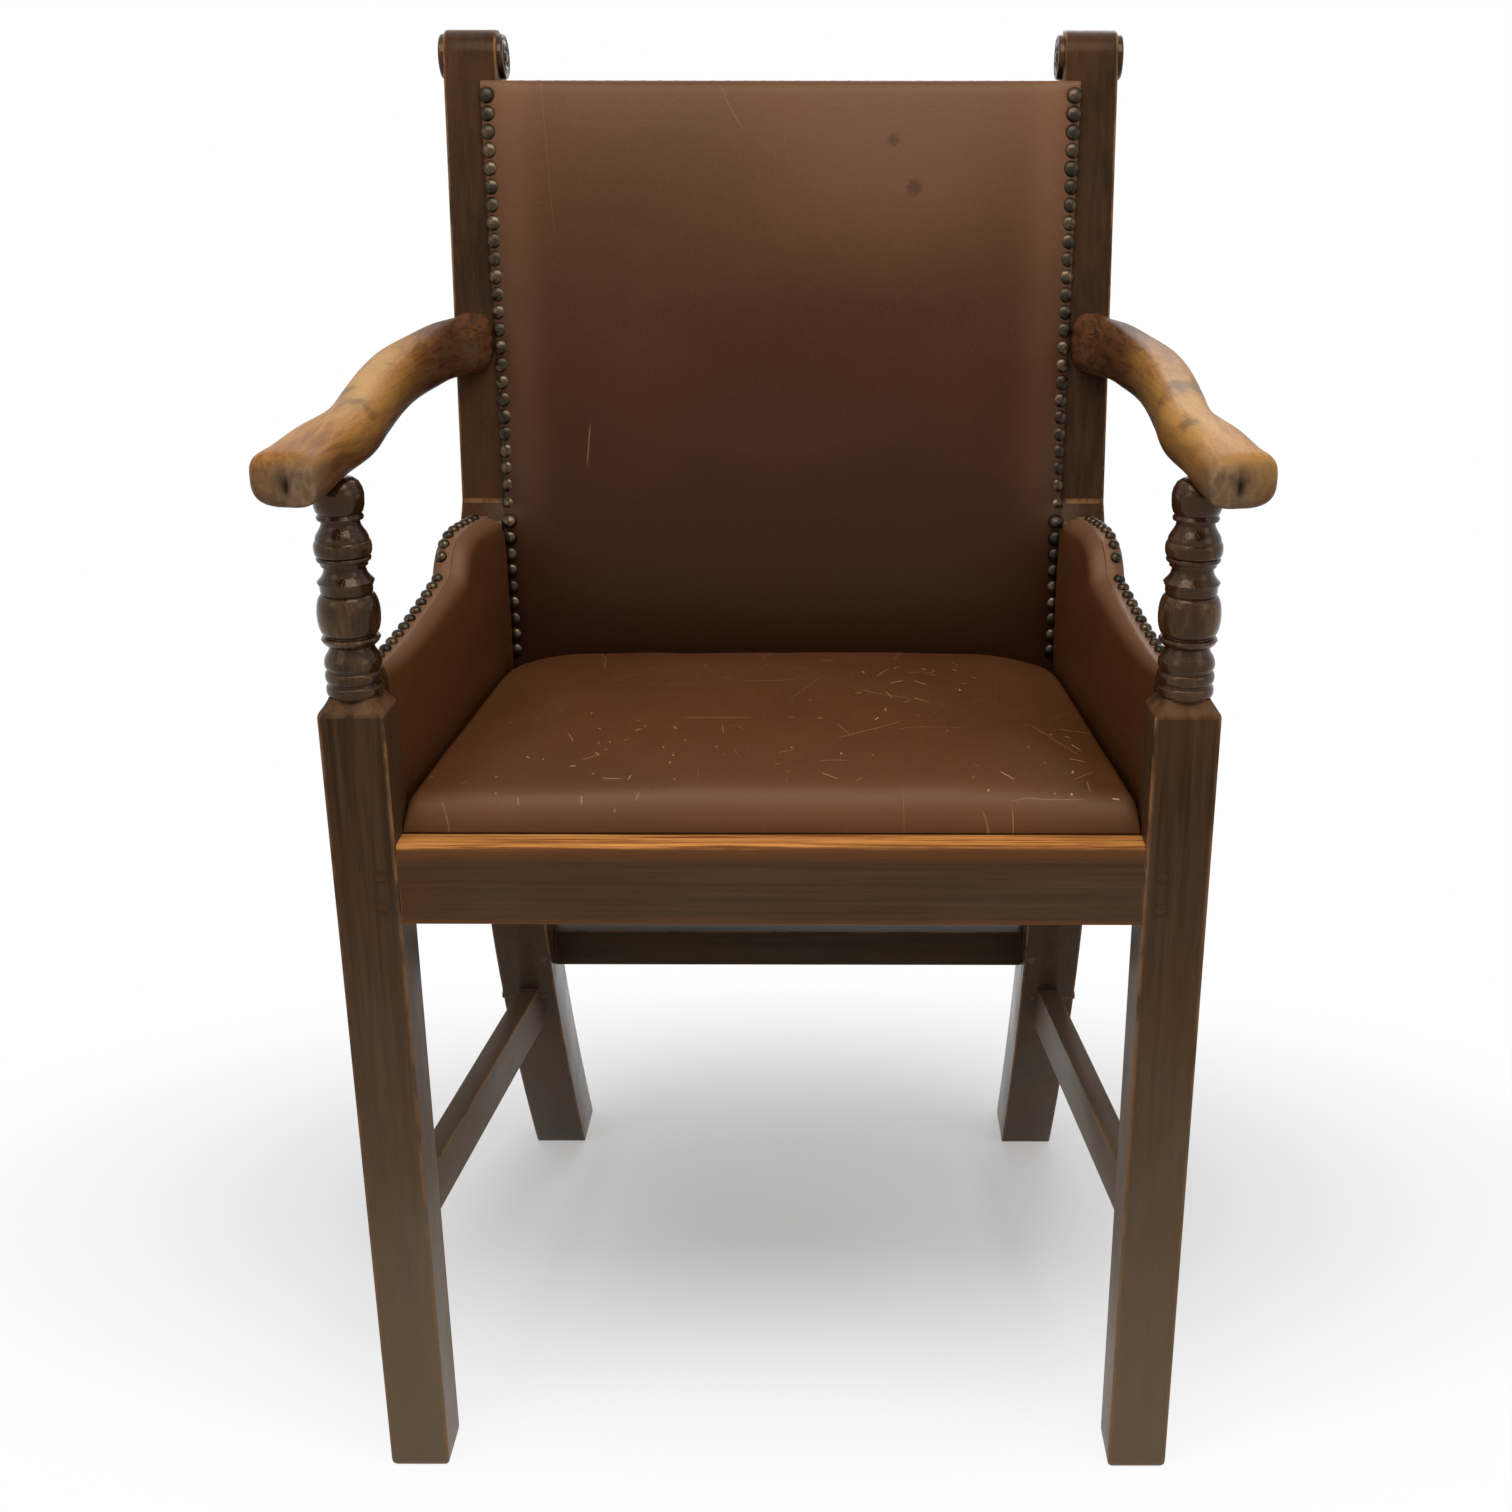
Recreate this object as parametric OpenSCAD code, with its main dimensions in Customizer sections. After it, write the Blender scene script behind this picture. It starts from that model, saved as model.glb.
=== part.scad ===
// Open-arm chair in stained oak with a loose leather seat, a leather back and leather side panels.
// Millimetres. -Y is the front, +Z is up and +X is the sitter's left.
// The origin is on the floor, in the middle of the chair's outer box.
// Inside the modules, lengths along Y are counted back from the front faces of the front legs.

/* [Front legs] */
// Width over the outer faces of the two front legs
front_w = 550; // [540:5:580]
// Width of a front leg, side to side
leg_w = 41; // [39:1:44]
// Depth of a front leg, front to back
leg_d = 38; // [37:1:41]
// Height of the square part of a front leg
leg_h = 572; // [550:1:580]
// Height of the turned part, from the square to the arm
turned_h = 133; // [125:1:150]
// Largest radius of the turning
turned_r = 19; // [17:0.5:20]
// Width of the chamfer on the shoulders of the square part
shoulder = 6; // [3:1:8]

/* [Seat rails] */
// Height of the top of the seat rails
rail_top = 478; // [460:2:490]
// Height of a seat rail
rail_h = 54; // [48:1:60]
// Thickness of the front seat rail
rail_t = 34; // [30:1:34]
// Width of the ledge that shows in front of the seat
ledge = 19; // [16:1:22]
// Radius worn onto the front rail's top edge
ledge_r = 7; // [3:1:9]
// Thickness of the side and rear seat rails
side_rail_t = 24; // [20:1:24]

/* [Rear posts] */
// Width over the outer faces of the rear posts
rear_w = 480; // [470:5:500]
// Width of a post below the step
post_w = 45; // [42:1:50]
// Width of a post at its top
post_top_w = 38; // [34:1:42]
// Front face of the post at seat height, behind the front legs' front faces
post_y = 283; // [270:1:320]
// Depth of the post at seat height
post_d = 50; // [46:1:56]
// Depth of the post above the step
post_up_d = 36; // [32:1:40]
// Height of the step in the post's front face
step_z = 635; // [630:1:645]
// Depth of the step
step_d = 12; // [8:1:14]
// Angle at which the back leans, in degrees
lean = 7; // [4:0.5:10]
// Height of the top of the scroll
post_top = 964; // [960:2:990]
// Front face of the rear foot at the floor, behind the front legs' front faces
foot_y = 432; // [400:1:440]
// Depth of the rear foot at the floor
foot_d = 56; // [50:1:62]
// Thickness of a turned boss on the side of the scroll
boss_t = 5; // [3:0.5:7]
// Radius of a turned boss
boss_r = 15.5; // [13:0.5:16]

/* [Arms] */
// How far the arm's top at the post stands above the top of the front leg's turning
arm_rise = 65; // [60:1:72]
// Height of the arm where it meets the post
arm_h = 41; // [39:1:44]
// How far the arm's top falls from the post to its front end
arm_fall = 40; // [36:1:42]
// How far the arm's front end reaches in front of the leg
arm_over = 50; // [44:1:56]
// How far the arm bows outwards between the post and the leg
arm_bow = 5; // [3:1:8]
// Width of the arm along its middle
arm_w = 33; // [30:1:35]
// Width of the arm's scrolled front end
arm_end_w = 44; // [42:1:46]

/* [Stretchers] */
// Thickness of a side stretcher
stretcher_t = 17; // [14:1:20]
// Height of a side stretcher
stretcher_h = 38; // [32:1:44]
// Height of the top of a side stretcher at the front leg
stretcher_z = 226; // [216:2:230]
// How far a side stretcher falls from front to back
stretcher_fall = 9; // [0:1:12]
// Height of the rear stretcher's underside
rear_stretcher_z = 236; // [234:1:250]
// Height of the rear stretcher
rear_stretcher_h = 31; // [28:1:36]
// Thickness of the rear stretcher
rear_stretcher_t = 18; // [16:1:20]

/* [Side panels] */
// Height of the side panel's top at the front leg
panel_front_z = 582; // [578:1:590]
// Height of the side panel's top along its hump
panel_hump_z = 627; // [622:1:630]
// Thickness of the side panel's board
panel_t = 11; // [9:1:12]

/* [Upholstery] */
// Thickness of the leather
leather_t = 1.6; // [1.2:0.1:2]
// How far the seat's crown rises above its rim
seat_crown = 19; // [12:1:22]
// Height of the seat's front rim above the rails
seat_rim = 20; // [18:1:24]
// How much higher the seat's rim is at the back
seat_rise = 27; // [10:1:30]
// How far the back's crown stands in front of its edge
back_crown = 13; // [8:1:16]
// How far the side pads' crown stands in front of their edge
side_crown = 5; // [2:1:6]
// How far the top edge of the back's leather lies below the tops of the posts
back_drop = 36; // [34:1:46]
// Width of the leather on each post's front face
post_lap = 11; // [8:1:12]
// Diameter of a nail head
nail_d = 10; // [8:0.5:11]
// Distance from nail to nail
nail_pitch = 12.4; // [12:0.1:16]

/* [Hidden] */
$fa = 6;
$fs = 1;
// eps keeps cuts clean, fit is the clearance left round tenons and pegs, loose is the one round soft pieces
eps = 0.05;
fit = 0.2;
loose = 0.4;
far = 2000;
oak = [0.25, 0.17, 0.12];
oak_worn = [0.62, 0.43, 0.2];
hide = [0.35, 0.2, 0.13];
antique_brass = [0.42, 0.33, 0.22];
steel = [0.55, 0.55, 0.56];
jute = [0.62, 0.5, 0.34];

// Places along X, outwards from the middle
leg_out = front_w / 2;
leg_in = leg_out - leg_w;
leg_x = leg_out - leg_w / 2;
leg_y = leg_d / 2;
// Heights that follow from the front leg and the post
arm_seat = leg_h + turned_h;
arm_root_z = arm_seat + arm_rise;
back_top_z = post_top - back_drop;
post_out = rear_w / 2;
post_in = post_out - post_w;
post_top_in = post_out - post_top_w;

// The rear post's front face, as Y for a height: raked foot, upright part, step and leaning part
leg_bend = 330;
step_low = step_z - 1.25 * step_d;
face_top = post_y + step_d;
function foot_part(z) = pow(max(0, 1 - z / leg_bend), 1.35);
function leg_face(z) = post_y + (foot_y - post_y) * foot_part(z);
function leg_depth(z) = post_d + (foot_d - post_d) * max(0, 1 - z / leg_bend);
function face_y(z) =
    z >= step_z ? face_top + (z - step_z) * tan(lean)
    : z > step_low ? post_y + step_d * (z - step_low) / (step_z - step_low)
    : leg_face(z);
// The rear post's inner face, as X for a height
function inner_x(z) = post_in + (post_top_in - post_in) * max(0, z - step_z) / (post_top - step_z);

// The scroll rounds off the post's top
scroll_r = post_up_d / 2 / cos(lean);
scroll_z = post_top - scroll_r;
scroll_y = face_y(scroll_z) + scroll_r;

// Centre of the outer box along Y
mid_y = (foot_y + foot_d - arm_over) / 2;

// The side rail's outer face tapers from the front leg to the post. Rail, board and pads follow it.
rail_front_x = leg_out - 15;
rail_rear_x = post_out - 5;
side_run = post_y - leg_d;
function rail_x(y) = rail_front_x + (rail_rear_x - rail_front_x) * (y - leg_d) / side_run;
board_off = 6;
pad_front_off = board_off + panel_t + 9.5;
pad_rear_off = board_off + panel_t + 18;
function pad_x(y) = rail_x(y) - pad_front_off - (pad_rear_off - pad_front_off) * (y - leg_d) / side_run;

// Joints: tenons, pegs and screws
tenon_t = 10;
tenon_l = 22;
side_tenon_l = 12;
peg_r = 3.5;
arm_tenon_r = 9;
arm_tenon_l = 16;
screw_r = 2;
screw_l = 28;

// Seat: rebates in the front and rear rails, loose frame, webbing, canvas and cushion
rail_y = 1;
rebate_d = 14;
rebate_w = 8;
seat_y0 = rail_y + ledge + loose;
rear_rail_y = post_y + 8;
seat_y1 = rear_rail_y + rebate_w - loose;
bar_z = rail_top - rebate_d;
bar_h = 14;
bar_w = 45;
web_t = 1.2;
canvas_t = 0.8;
web_z = bar_z + bar_h;
canvas_z = web_z + 2 * web_t;
cushion_z = canvas_z + canvas_t;
// Edge of the back's leather in front of the posts' faces
back_edge = 2 * leather_t;
nail_h = 0.36 * nail_d;
shank_l = 9;
shank_r = 0.7;

module to_frame() translate([0, -mid_y, 0]) children();
module side(s) if (s > 0) children(); else mirror([1, 0, 0]) children();
module both() for (s = [-1, 1]) side(s) children();
// A prism along X, from a profile drawn in Y and Z
module along_x(x0, x1) translate([x0, 0, 0]) rotate([90, 0, 90]) linear_extrude(x1 - x0) children();
// A prism along Y, from a profile drawn in X and Z
module along_y(y0, y1) translate([0, y1, 0]) rotate([90, 0, 0]) linear_extrude(y1 - y0) children();
// A box between two corners
module block(a, b) translate(a) cube(b - a);
// A block grown by a gap on every side
module socket(a, b, gap) block(a - [gap, gap, gap], b + [gap, gap, gap]);
// A plate that follows the side rail, from off to off + t inwards of its outer face
module side_plate(off, t, z0, z1, y0, y1) translate([0, 0, z0]) linear_extrude(z1 - z0) polygon([
    [rail_x(y0) - off, y0], [rail_x(y1) - off, y1],
    [rail_x(y1) - off - t, y1], [rail_x(y0) - off - t, y0]]);

// A solid lofted through rings of points with equal counts, closed by a fan at both ends
function flat(rings) = [for (ring = rings) for (p = ring) p];
function middle(ring) = [for (k = [0:2]) [for (p = ring) p[k]] * [for (p = ring) 1] / len(ring)];
module lofted(rings) {
    n = len(rings[0]);
    m = len(rings);
    skin = [for (i = [0:m - 2]) for (j = [0:n - 1])
        let (a = i * n + j, b = i * n + (j + 1) % n) for (f = [[a, a + n, b + n], [a, b + n, b]]) f];
    low = [for (j = [0:n - 1]) [n * m, j, (j + 1) % n]];
    high = [for (j = [0:n - 1]) [n * m + 1, (m - 1) * n + (j + 1) % n, (m - 1) * n + j]];
    polyhedron(concat(flat(rings), [middle(rings[0]), middle(rings[m - 1])]), concat(skin, low, high));
}
// A loop between a circle and a square, reaching 1 each way
function square_loop(count, power) = [for (i = [0:count - 1])
    let (a = 360 * (i + 0.5) / count) [sign(cos(a)) * pow(abs(cos(a)), 2 / power),
        sign(sin(a)) * pow(abs(sin(a)), 2 / power)]];
// A smooth curve through [position, value] pairs
function curve_slope(c, i) = i == 0 || i == len(c) - 1 ? 0
    : (c[i + 1][1] - c[i - 1][1]) / (c[i + 1][0] - c[i - 1][0]);
function curve_part(c, i, x) = let (h = c[i + 1][0] - c[i][0], t = (x - c[i][0]) / h,
        a = c[i][1], b = c[i + 1][1], p = h * curve_slope(c, i), q = h * curve_slope(c, i + 1))
    a + t * (p + t * (3 * (b - a) - 2 * p - q + t * (p + q - 2 * (b - a))));
function curve(c, x) = x <= c[0][0] ? c[0][1] : x >= c[len(c) - 1][0] ? c[len(c) - 1][1]
    : [for (i = [0:len(c) - 2]) if (x >= c[i][0] && x < c[i + 1][0]) curve_part(c, i, x)][0];

// Front leg: a square part with chamfered shoulders, turned above and with a round tenon for the arm
function bead(z, h, r_in, r_out, n = 6) = [for (i = [0:n])
    [r_in + (r_out - r_in) * sin(180 * i / n), z + h * (1 - cos(180 * i / n)) / 2]];
function cove(z, h, r0, r1, n = 5) = [for (i = [0:n])
    [r0 + (r1 - r0) * (1 - cos(180 * i / n)) / 2, z + h * i / n]];
// Heights of the members as parts of the turned height, radii as parts of its largest radius
turned_members = concat(
    bead(0, 0.05, 0.86, 0.93), bead(0.062, 0.055, 0.84, 0.93),
    [[0.84, 0.122], [0.9, 0.135], [0.92, 0.15], [0.9, 0.17], [0.84, 0.19], [0.755, 0.208], [0.69, 0.232]],
    [[0.78, 0.236], [0.88, 0.25], [0.94, 0.266], [0.9, 0.276], [0.8, 0.28]],
    bead(0.284, 0.19, 0.79, 1, 10),
    [[0.8, 0.478], [0.83, 0.49], [0.83, 0.51], [0.87, 0.522], [0.9, 0.533], [0.86, 0.54]],
    [[0.78, 0.552], [0.7, 0.568], [0.66, 0.59], [0.66, 0.602], [0.74, 0.606], [0.76, 0.62]],
    bead(0.625, 0.026, 0.78, 0.86), bead(0.653, 0.066, 0.84, 0.91), cove(0.724, 0.08, 0.84, 0.61),
    [[0.61, 0.812], [0.72, 0.816], [0.74, 0.826], [0.7, 0.836], [0.68, 0.842]],
    [[0.74, 0.852], [0.785, 0.875], [0.8, 0.905], [0.805, 0.935], [0.79, 0.965], [0.76, 0.99], [0.74, 1]]);
module turning() rotate_extrude($fn = 48) polygon(concat([[0, -eps]], [[0.8 * turned_r, -eps]],
    [for (p = turned_members) [p[0] * turned_r, p[1] * turned_h]], [[0, turned_h]]));
module shoulder_bar(l) rotate([45, 0, 0]) cube([l, 1.4 * shoulder, 1.4 * shoulder], center = true);
module shoulder_cut() for (s = [-1, 1]) translate([0, 0, leg_h]) {
    translate([s * leg_w / 2, 0, 0]) rotate([0, 0, 90]) shoulder_bar(2 * leg_d);
    translate([0, s * leg_d / 2, 0]) shoulder_bar(2 * leg_w);
}
module front_leg(s) color(oak) to_frame() side(s) difference() {
    translate([leg_x, leg_y, 0]) {
        difference() {
            block([-leg_w / 2, -leg_d / 2, 0], [leg_w / 2, leg_d / 2, leg_h]);
            shoulder_cut();
        }
        translate([0, 0, leg_h]) turning();
        translate([0, 0, leg_h + turned_h - eps])
            cylinder(r = arm_tenon_r, h = arm_tenon_l + eps, $fn = 32);
    }
    front_rail_tenon(fit);
    side_rail_tenons(fit);
    side_stretcher(fit);
    board_tongues(fit);
    pegs(fit / 2);
}
module front_leg_left() front_leg(1);
module front_leg_right() front_leg(-1);

// Rear post: one piece, from the raked foot past the step to the scroll
leg_steps = 8;
function leg_outline(back) = [for (i = [0:leg_steps])
    let (z = leg_bend * i / leg_steps) [leg_face(z) + (back ? leg_depth(z) : 0), z]];
function backwards(list) = [for (i = [len(list) - 1:-1:0]) list[i]];
post_outline = concat(leg_outline(false),
    [[post_y, step_low], [face_top, step_z], [face_y(scroll_z), scroll_z]],
    [[face_y(scroll_z) + 2 * scroll_r, scroll_z], [face_top + post_up_d + 2, step_z]],
    [[post_y + post_d, step_low - 30]], backwards(leg_outline(true)));
module post_taper() along_y(0, 2 * foot_y)
    polygon([[0, step_z], [post_in, step_z], [inner_x(post_top + 5), post_top + 5], [0, post_top + 5]]);
module rear_post(s) color(oak) to_frame() side(s) difference() {
    union() {
        along_x(post_in, post_out) polygon(post_outline);
        translate([post_in, scroll_y, scroll_z]) rotate([0, 90, 0])
            cylinder(r = scroll_r, h = post_w, $fn = 64);
    }
    post_taper();
    side_rail_tenons(fit);
    rear_rail_tenon(fit);
    side_stretcher(fit);
    rear_stretcher_tenon(fit);
    back_rail_tenon(top_rail_z, top_rail_h, fit);
    back_rail_tenon(low_rail_z, low_rail_h, fit);
    arm_tenon(fit);
    board_tongues(fit);
    pegs(fit / 2);
}
module rear_post_left() rear_post(1);
module rear_post_right() rear_post(-1);

// Turned bosses, one on each side of a scroll
module boss() rotate_extrude($fn = 48) polygon([[0, 0], [boss_r, 0], [boss_r, 0.6 * boss_t],
    [0.92 * boss_r, 0.9 * boss_t], [0.72 * boss_r, 0.9 * boss_t], [0.65 * boss_r, 0.5 * boss_t],
    [0.48 * boss_r, 0.5 * boss_t], [0.4 * boss_r, 0.85 * boss_t], [0.2 * boss_r, boss_t], [0, boss_t]]);
module scroll_bosses(s) color(oak) to_frame() side(s) {
    translate([post_out, scroll_y, scroll_z]) rotate([0, 90, 0]) boss();
    // The inner boss stands square to the tapered inner face
    translate([inner_x(scroll_z), scroll_y, scroll_z])
        rotate([0, -90 + atan((inner_x(post_top) - post_in) / (post_top - step_z)), 0]) boss();
}
module scroll_bosses_left() scroll_bosses(1);
module scroll_bosses_right() scroll_bosses(-1);

// Arm: sections across Y from the post to the scrolled front end
root_y = face_y(arm_root_z) + 3;
root_face = face_y(arm_root_z - arm_h / 2);
arm_run = root_face + arm_over;
lobe_r = arm_end_w / 2 - 3;
// How far the scrolled end lies outwards of the leg
end_shift = 13.5;
function along(y) = (root_face - y) / arm_run;
root_in = inner_x(arm_root_z) + post_lap + 2.6;
root_x = (post_out + 3 + root_in) / 2;
arm_mid = [[0, root_x], [0.08, root_x + 0.57 * (leg_x - root_x)], [0.16, leg_x - 0.9 * arm_bow],
    [0.28, leg_x + 0.7 * arm_bow], [0.4, leg_x + arm_bow], [0.56, leg_x + 0.5 * arm_bow],
    [0.7, leg_x], [0.82, leg_x + 0.5 * end_shift], [0.92, leg_x + 0.7 * end_shift], [1, leg_x + end_shift]];
arm_width = [[0, post_out + 3 - root_in], [0.08, arm_w - 6], [0.16, arm_w - 4], [0.3, arm_w],
    [0.7, arm_w], [0.82, arm_w + 5.5], [0.92, arm_end_w - 3], [1, arm_end_w]];
function arm_top(y) = arm_root_z - arm_fall * along(y);
function arm_low(y) = arm_seat + (arm_root_z - arm_h - arm_seat) * (y - leg_y) / (root_face - leg_y);
function arm_in_x(y) = curve(arm_mid, along(y)) - curve(arm_width, along(y)) / 2;
// The outer side curls round to a lobe at the front
function arm_out_x(y) = let (plain = curve(arm_mid, along(y)) + curve(arm_width, along(y)) / 2,
        past = lobe_r - (y + arm_over))
    past <= 0 ? plain : plain - lobe_r + sqrt(max(0, lobe_r * lobe_r - past * past));
arm_rings = 34;
arm_loop = square_loop(16, 4);
// Rings stand closer together at both ends
function arm_y(i) = let (t = i / arm_rings)
    root_y - (root_y + arm_over) * (t + 0.09 * sin(360 * (t - 0.5)) * (t > 0.5 ? 1 : 0.5));
function arm_ring(y) = let (x0 = arm_in_x(y), x1 = arm_out_x(y), z0 = arm_low(y), z1 = arm_top(y))
    [for (p = arm_loop) [(x0 + x1) / 2 + p[0] * (x1 - x0) / 2, y, (z0 + z1) / 2 + p[1] * (z1 - z0) / 2]];
module arm_tenon(gap) let (x = root_x, z = arm_root_z - arm_h / 2 - 2) socket(
    [x - tenon_t / 2 - 2, root_face - 4, z - 12], [x + tenon_t / 2 + 2, root_face + 18, z + 12], gap);
module post_front_side() along_x(0, leg_out + 50) polygon([
    [face_y(step_z), step_z], [face_y(post_top), post_top], [2 * foot_y, post_top], [2 * foot_y, step_z]]);
// Carved eye between the flat end and the lobe beside it
eye_r = 3.5;
eye_x = leg_x + end_shift - 2.5;
eye_top = arm_top(-arm_over) - 9;
module arm_eye() translate([eye_x, -arm_over, arm_seat - 20])
    cylinder(r = eye_r, h = eye_top - arm_seat + 20, $fn = 32);
module arm(s) color(oak_worn) to_frame() side(s) difference() {
    union() {
        difference() {
            lofted([for (i = [0:arm_rings]) arm_ring(arm_y(i))]);
            post_front_side();
            arm_eye();
        }
        arm_tenon(0);
    }
    translate([leg_x, leg_y, arm_seat - 20]) cylinder(r = 0.9 * turned_r, h = 20, $fn = 48);
    translate([leg_x, leg_y, arm_seat - eps])
        cylinder(r = arm_tenon_r + fit, h = arm_tenon_l + fit + eps, $fn = 32);
    pegs(fit / 2);
}
module arm_left() arm(1);
module arm_right() arm(-1);

// Front seat rail: worn top edge, rebate for the loose seat and a tenon at each end
front_tenon_h = rail_h - rebate_d;
module front_rail_tenon(gap) socket([leg_in - 1, rail_y + 8, rail_top - rail_h + 2],
    [leg_in + tenon_l, rail_y + 8 + tenon_t, rail_top - rail_h + 2 + front_tenon_h - 4], gap);
module worn_edge() translate([rail_y, rail_top - ledge_r]) difference() {
    translate([-1, 0]) square([ledge_r + 1, ledge_r + 1]);
    translate([ledge_r, 0]) circle(r = ledge_r, $fn = 32);
}
module front_seat_rail() color(oak_worn) to_frame() difference() {
    union() {
        along_x(-leg_in, leg_in) difference() {
            translate([rail_y, rail_top - rail_h]) square([rail_t, rail_h]);
            translate([rail_y + ledge, rail_top - rebate_d]) square([rail_t, 2 * rebate_d]);
            worn_edge();
        }
        both() front_rail_tenon(0);
    }
    both() pegs(fit / 2);
    both() block_screws(false);
}

// Side seat rails, tenoned into the leg and the post
side_tenon_z = rail_top - rail_h + 6;
side_tenon_h = rail_h - rebate_d - 8;
module side_rail_tenons(gap) {
    side_plate(7 - gap, tenon_t + 2 * gap, side_tenon_z - gap, side_tenon_z + side_tenon_h + gap,
        leg_d - side_tenon_l - gap, leg_d + 1);
    side_plate(7 - gap, tenon_t + 2 * gap, side_tenon_z - gap, side_tenon_z + side_tenon_h + gap,
        post_y - 1, post_y + tenon_l + gap);
}
module side_seat_rail(s) color(oak) to_frame() side(s) difference() {
    union() {
        side_plate(0, side_rail_t, rail_top - rail_h, rail_top, leg_d, post_y);
        side_rail_tenons(0);
    }
    pegs(fit / 2);
    block_screws(false);
    bearer_screws(false);
}
module side_seat_rail_left() side_seat_rail(1);
module side_seat_rail_right() side_seat_rail(-1);

// Rear seat rail between the posts
rear_tenon_l = 15;
module rear_rail_tenon(gap) socket([post_in - 1, rear_rail_y + 6, side_tenon_z],
    [post_in + rear_tenon_l, rear_rail_y + 6 + tenon_t, side_tenon_z + side_tenon_h], gap);
module rear_seat_rail() color(oak) to_frame() difference() {
    union() {
        difference() {
            block([-post_in, rear_rail_y, rail_top - rail_h],
                [post_in, rear_rail_y + side_rail_t, rail_top]);
            block([-leg_in, rear_rail_y - 1, bar_z], [leg_in, rear_rail_y + rebate_w, rail_top + 1]);
        }
        both() rear_rail_tenon(0);
    }
    both() pegs(fit / 2);
    both() block_screws(false);
}

// Side stretchers fall a little to the back. Both ends are let into the legs.
stretcher_y0 = leg_d - 14;
stretcher_y1 = leg_face(stretcher_z) + 20;
function stretcher_x(y) = leg_in + (post_in + 14 - leg_in) * (y - leg_d) / (leg_face(stretcher_z) - leg_d);
function stretcher_top(y) = stretcher_z - stretcher_fall * (y - leg_d) / (leg_face(stretcher_z) - leg_d);
module side_stretcher(gap) let (y0 = stretcher_y0 - gap, y1 = stretcher_y1 + gap) intersection() {
    translate([0, 0, stretcher_z - 3 * stretcher_h]) linear_extrude(6 * stretcher_h) polygon([
        [stretcher_x(y0) - gap + 1, y0], [stretcher_x(y1) - gap, y1],
        [stretcher_x(y1) + stretcher_t + gap, y1], [stretcher_x(y0) + stretcher_t + gap, y0]]);
    along_x(0, front_w) polygon([
        [y0, stretcher_top(y0) + gap], [y1, stretcher_top(y1) + gap],
        [y1, stretcher_top(y1) - stretcher_h - gap], [y0, stretcher_top(y0) - stretcher_h - gap]]);
}
module side_stretcher_node(s) color(oak) to_frame() side(s) difference() {
    side_stretcher(0);
    pegs(fit / 2);
}
module side_stretcher_left() side_stretcher_node(1);
module side_stretcher_right() side_stretcher_node(-1);

// Rear stretcher, above the side ones' ends
rear_stretcher_y = leg_face(rear_stretcher_z) + 14;
module rear_stretcher_tenon(gap) socket([post_in - 1, rear_stretcher_y + 4, rear_stretcher_z + 5],
    [post_in + 11, rear_stretcher_y + 4 + tenon_t, rear_stretcher_z + rear_stretcher_h - 5], gap);
module rear_stretcher() color(oak) to_frame() difference() {
    union() {
        block([-post_in, rear_stretcher_y, rear_stretcher_z],
            [post_in, rear_stretcher_y + rear_stretcher_t, rear_stretcher_z + rear_stretcher_h]);
        both() rear_stretcher_tenon(0);
    }
    both() pegs(fit / 2);
}

// Back rails between the posts, following the posts' front faces
top_rail_h = 44;
top_rail_z = back_top_z - leather_t - top_rail_h;
low_rail_h = 40;
low_rail_z = rail_top + 24;
back_rail_t = 22;
module back_bar(z0, z1, off, t, x0, x1) along_x(x0, x1) polygon([
    [face_y(z0) + off, z0], [face_y(z1) + off, z1],
    [face_y(z1) + off + t, z1], [face_y(z0) + off + t, z0]]);
module back_rail_tenon(z, h, gap) back_bar(z + 5 - gap, z + h - 5 + gap, 6 - gap, tenon_t + 2 * gap,
    post_in - 1, inner_x(z) + 14 + gap);
module between_posts(z0, z1) along_y(0, 2 * foot_y) polygon([[-inner_x(z0), z0], [inner_x(z0), z0],
    [inner_x(z1), z1], [-inner_x(z1), z1]]);
// Their front faces stand back from the posts' faces by the webbing
web_back = web_t + 2 * fit;
module back_rail(z, h) color(oak) to_frame() union() {
    intersection() {
        back_bar(z, z + h, web_back, back_rail_t - web_back, -post_out, post_out);
        between_posts(z, z + h);
    }
    both() difference() {
        back_rail_tenon(z, h, 0);
        block([0, 0, 0], [post_in - 1 + eps, far, far]);
    }
}
module back_top_rail() back_rail(top_rail_z, top_rail_h);
module back_bottom_rail() back_rail(low_rail_z, low_rail_h);

// Side board: level hump at the back, a quick ogee fall and a gentle slope to the front leg
panel_line = [[0, panel_front_z], [0.1, panel_front_z + 1], [0.25, panel_front_z + 5],
    [0.37, panel_front_z + 10], [0.51, panel_front_z + 17], [0.59, panel_front_z + 22],
    [0.615, panel_hump_z - 14], [0.645, panel_hump_z - 6], [0.7, panel_hump_z - 1],
    [0.78, panel_hump_z], [1, step_low + 4]];
function panel_z(y) = curve(panel_line, (y - leg_d) / side_run);
panel_steps = 30;
module panel_profile(rise, low) polygon(concat([[leg_d, low]],
    [for (i = [0:panel_steps]) let (y = leg_d + side_run * i / panel_steps) [y, panel_z(y) + rise]],
    [[post_y, low]]));
module panel(off, t, rise, low) intersection() {
    side_plate(off, t, rail_top - rail_h, panel_hump_z + 20, leg_d, post_y);
    along_x(0, front_w) panel_profile(rise, low);
}
module board_tongues(gap) for (e = [0, 1]) side_plate(board_off + 3 - gap, panel_t - 6 + 2 * gap,
    rail_top + 12 - gap, (e == 0 ? panel_front_z - 20 : panel_hump_z - 30) + gap,
    e == 0 ? leg_d - 8 - gap : post_y - 1, e == 0 ? leg_d + 1 : post_y + 8 + gap);
module side_board(s) color(oak) to_frame() side(s) {
    panel(board_off, panel_t, 0, rail_top);
    difference() {
        board_tongues(0);
        block([0, leg_d + eps, 0], [front_w, post_y - eps, far]);
    }
}
module side_board_left() side_board(1);
module side_board_right() side_board(-1);

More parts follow.
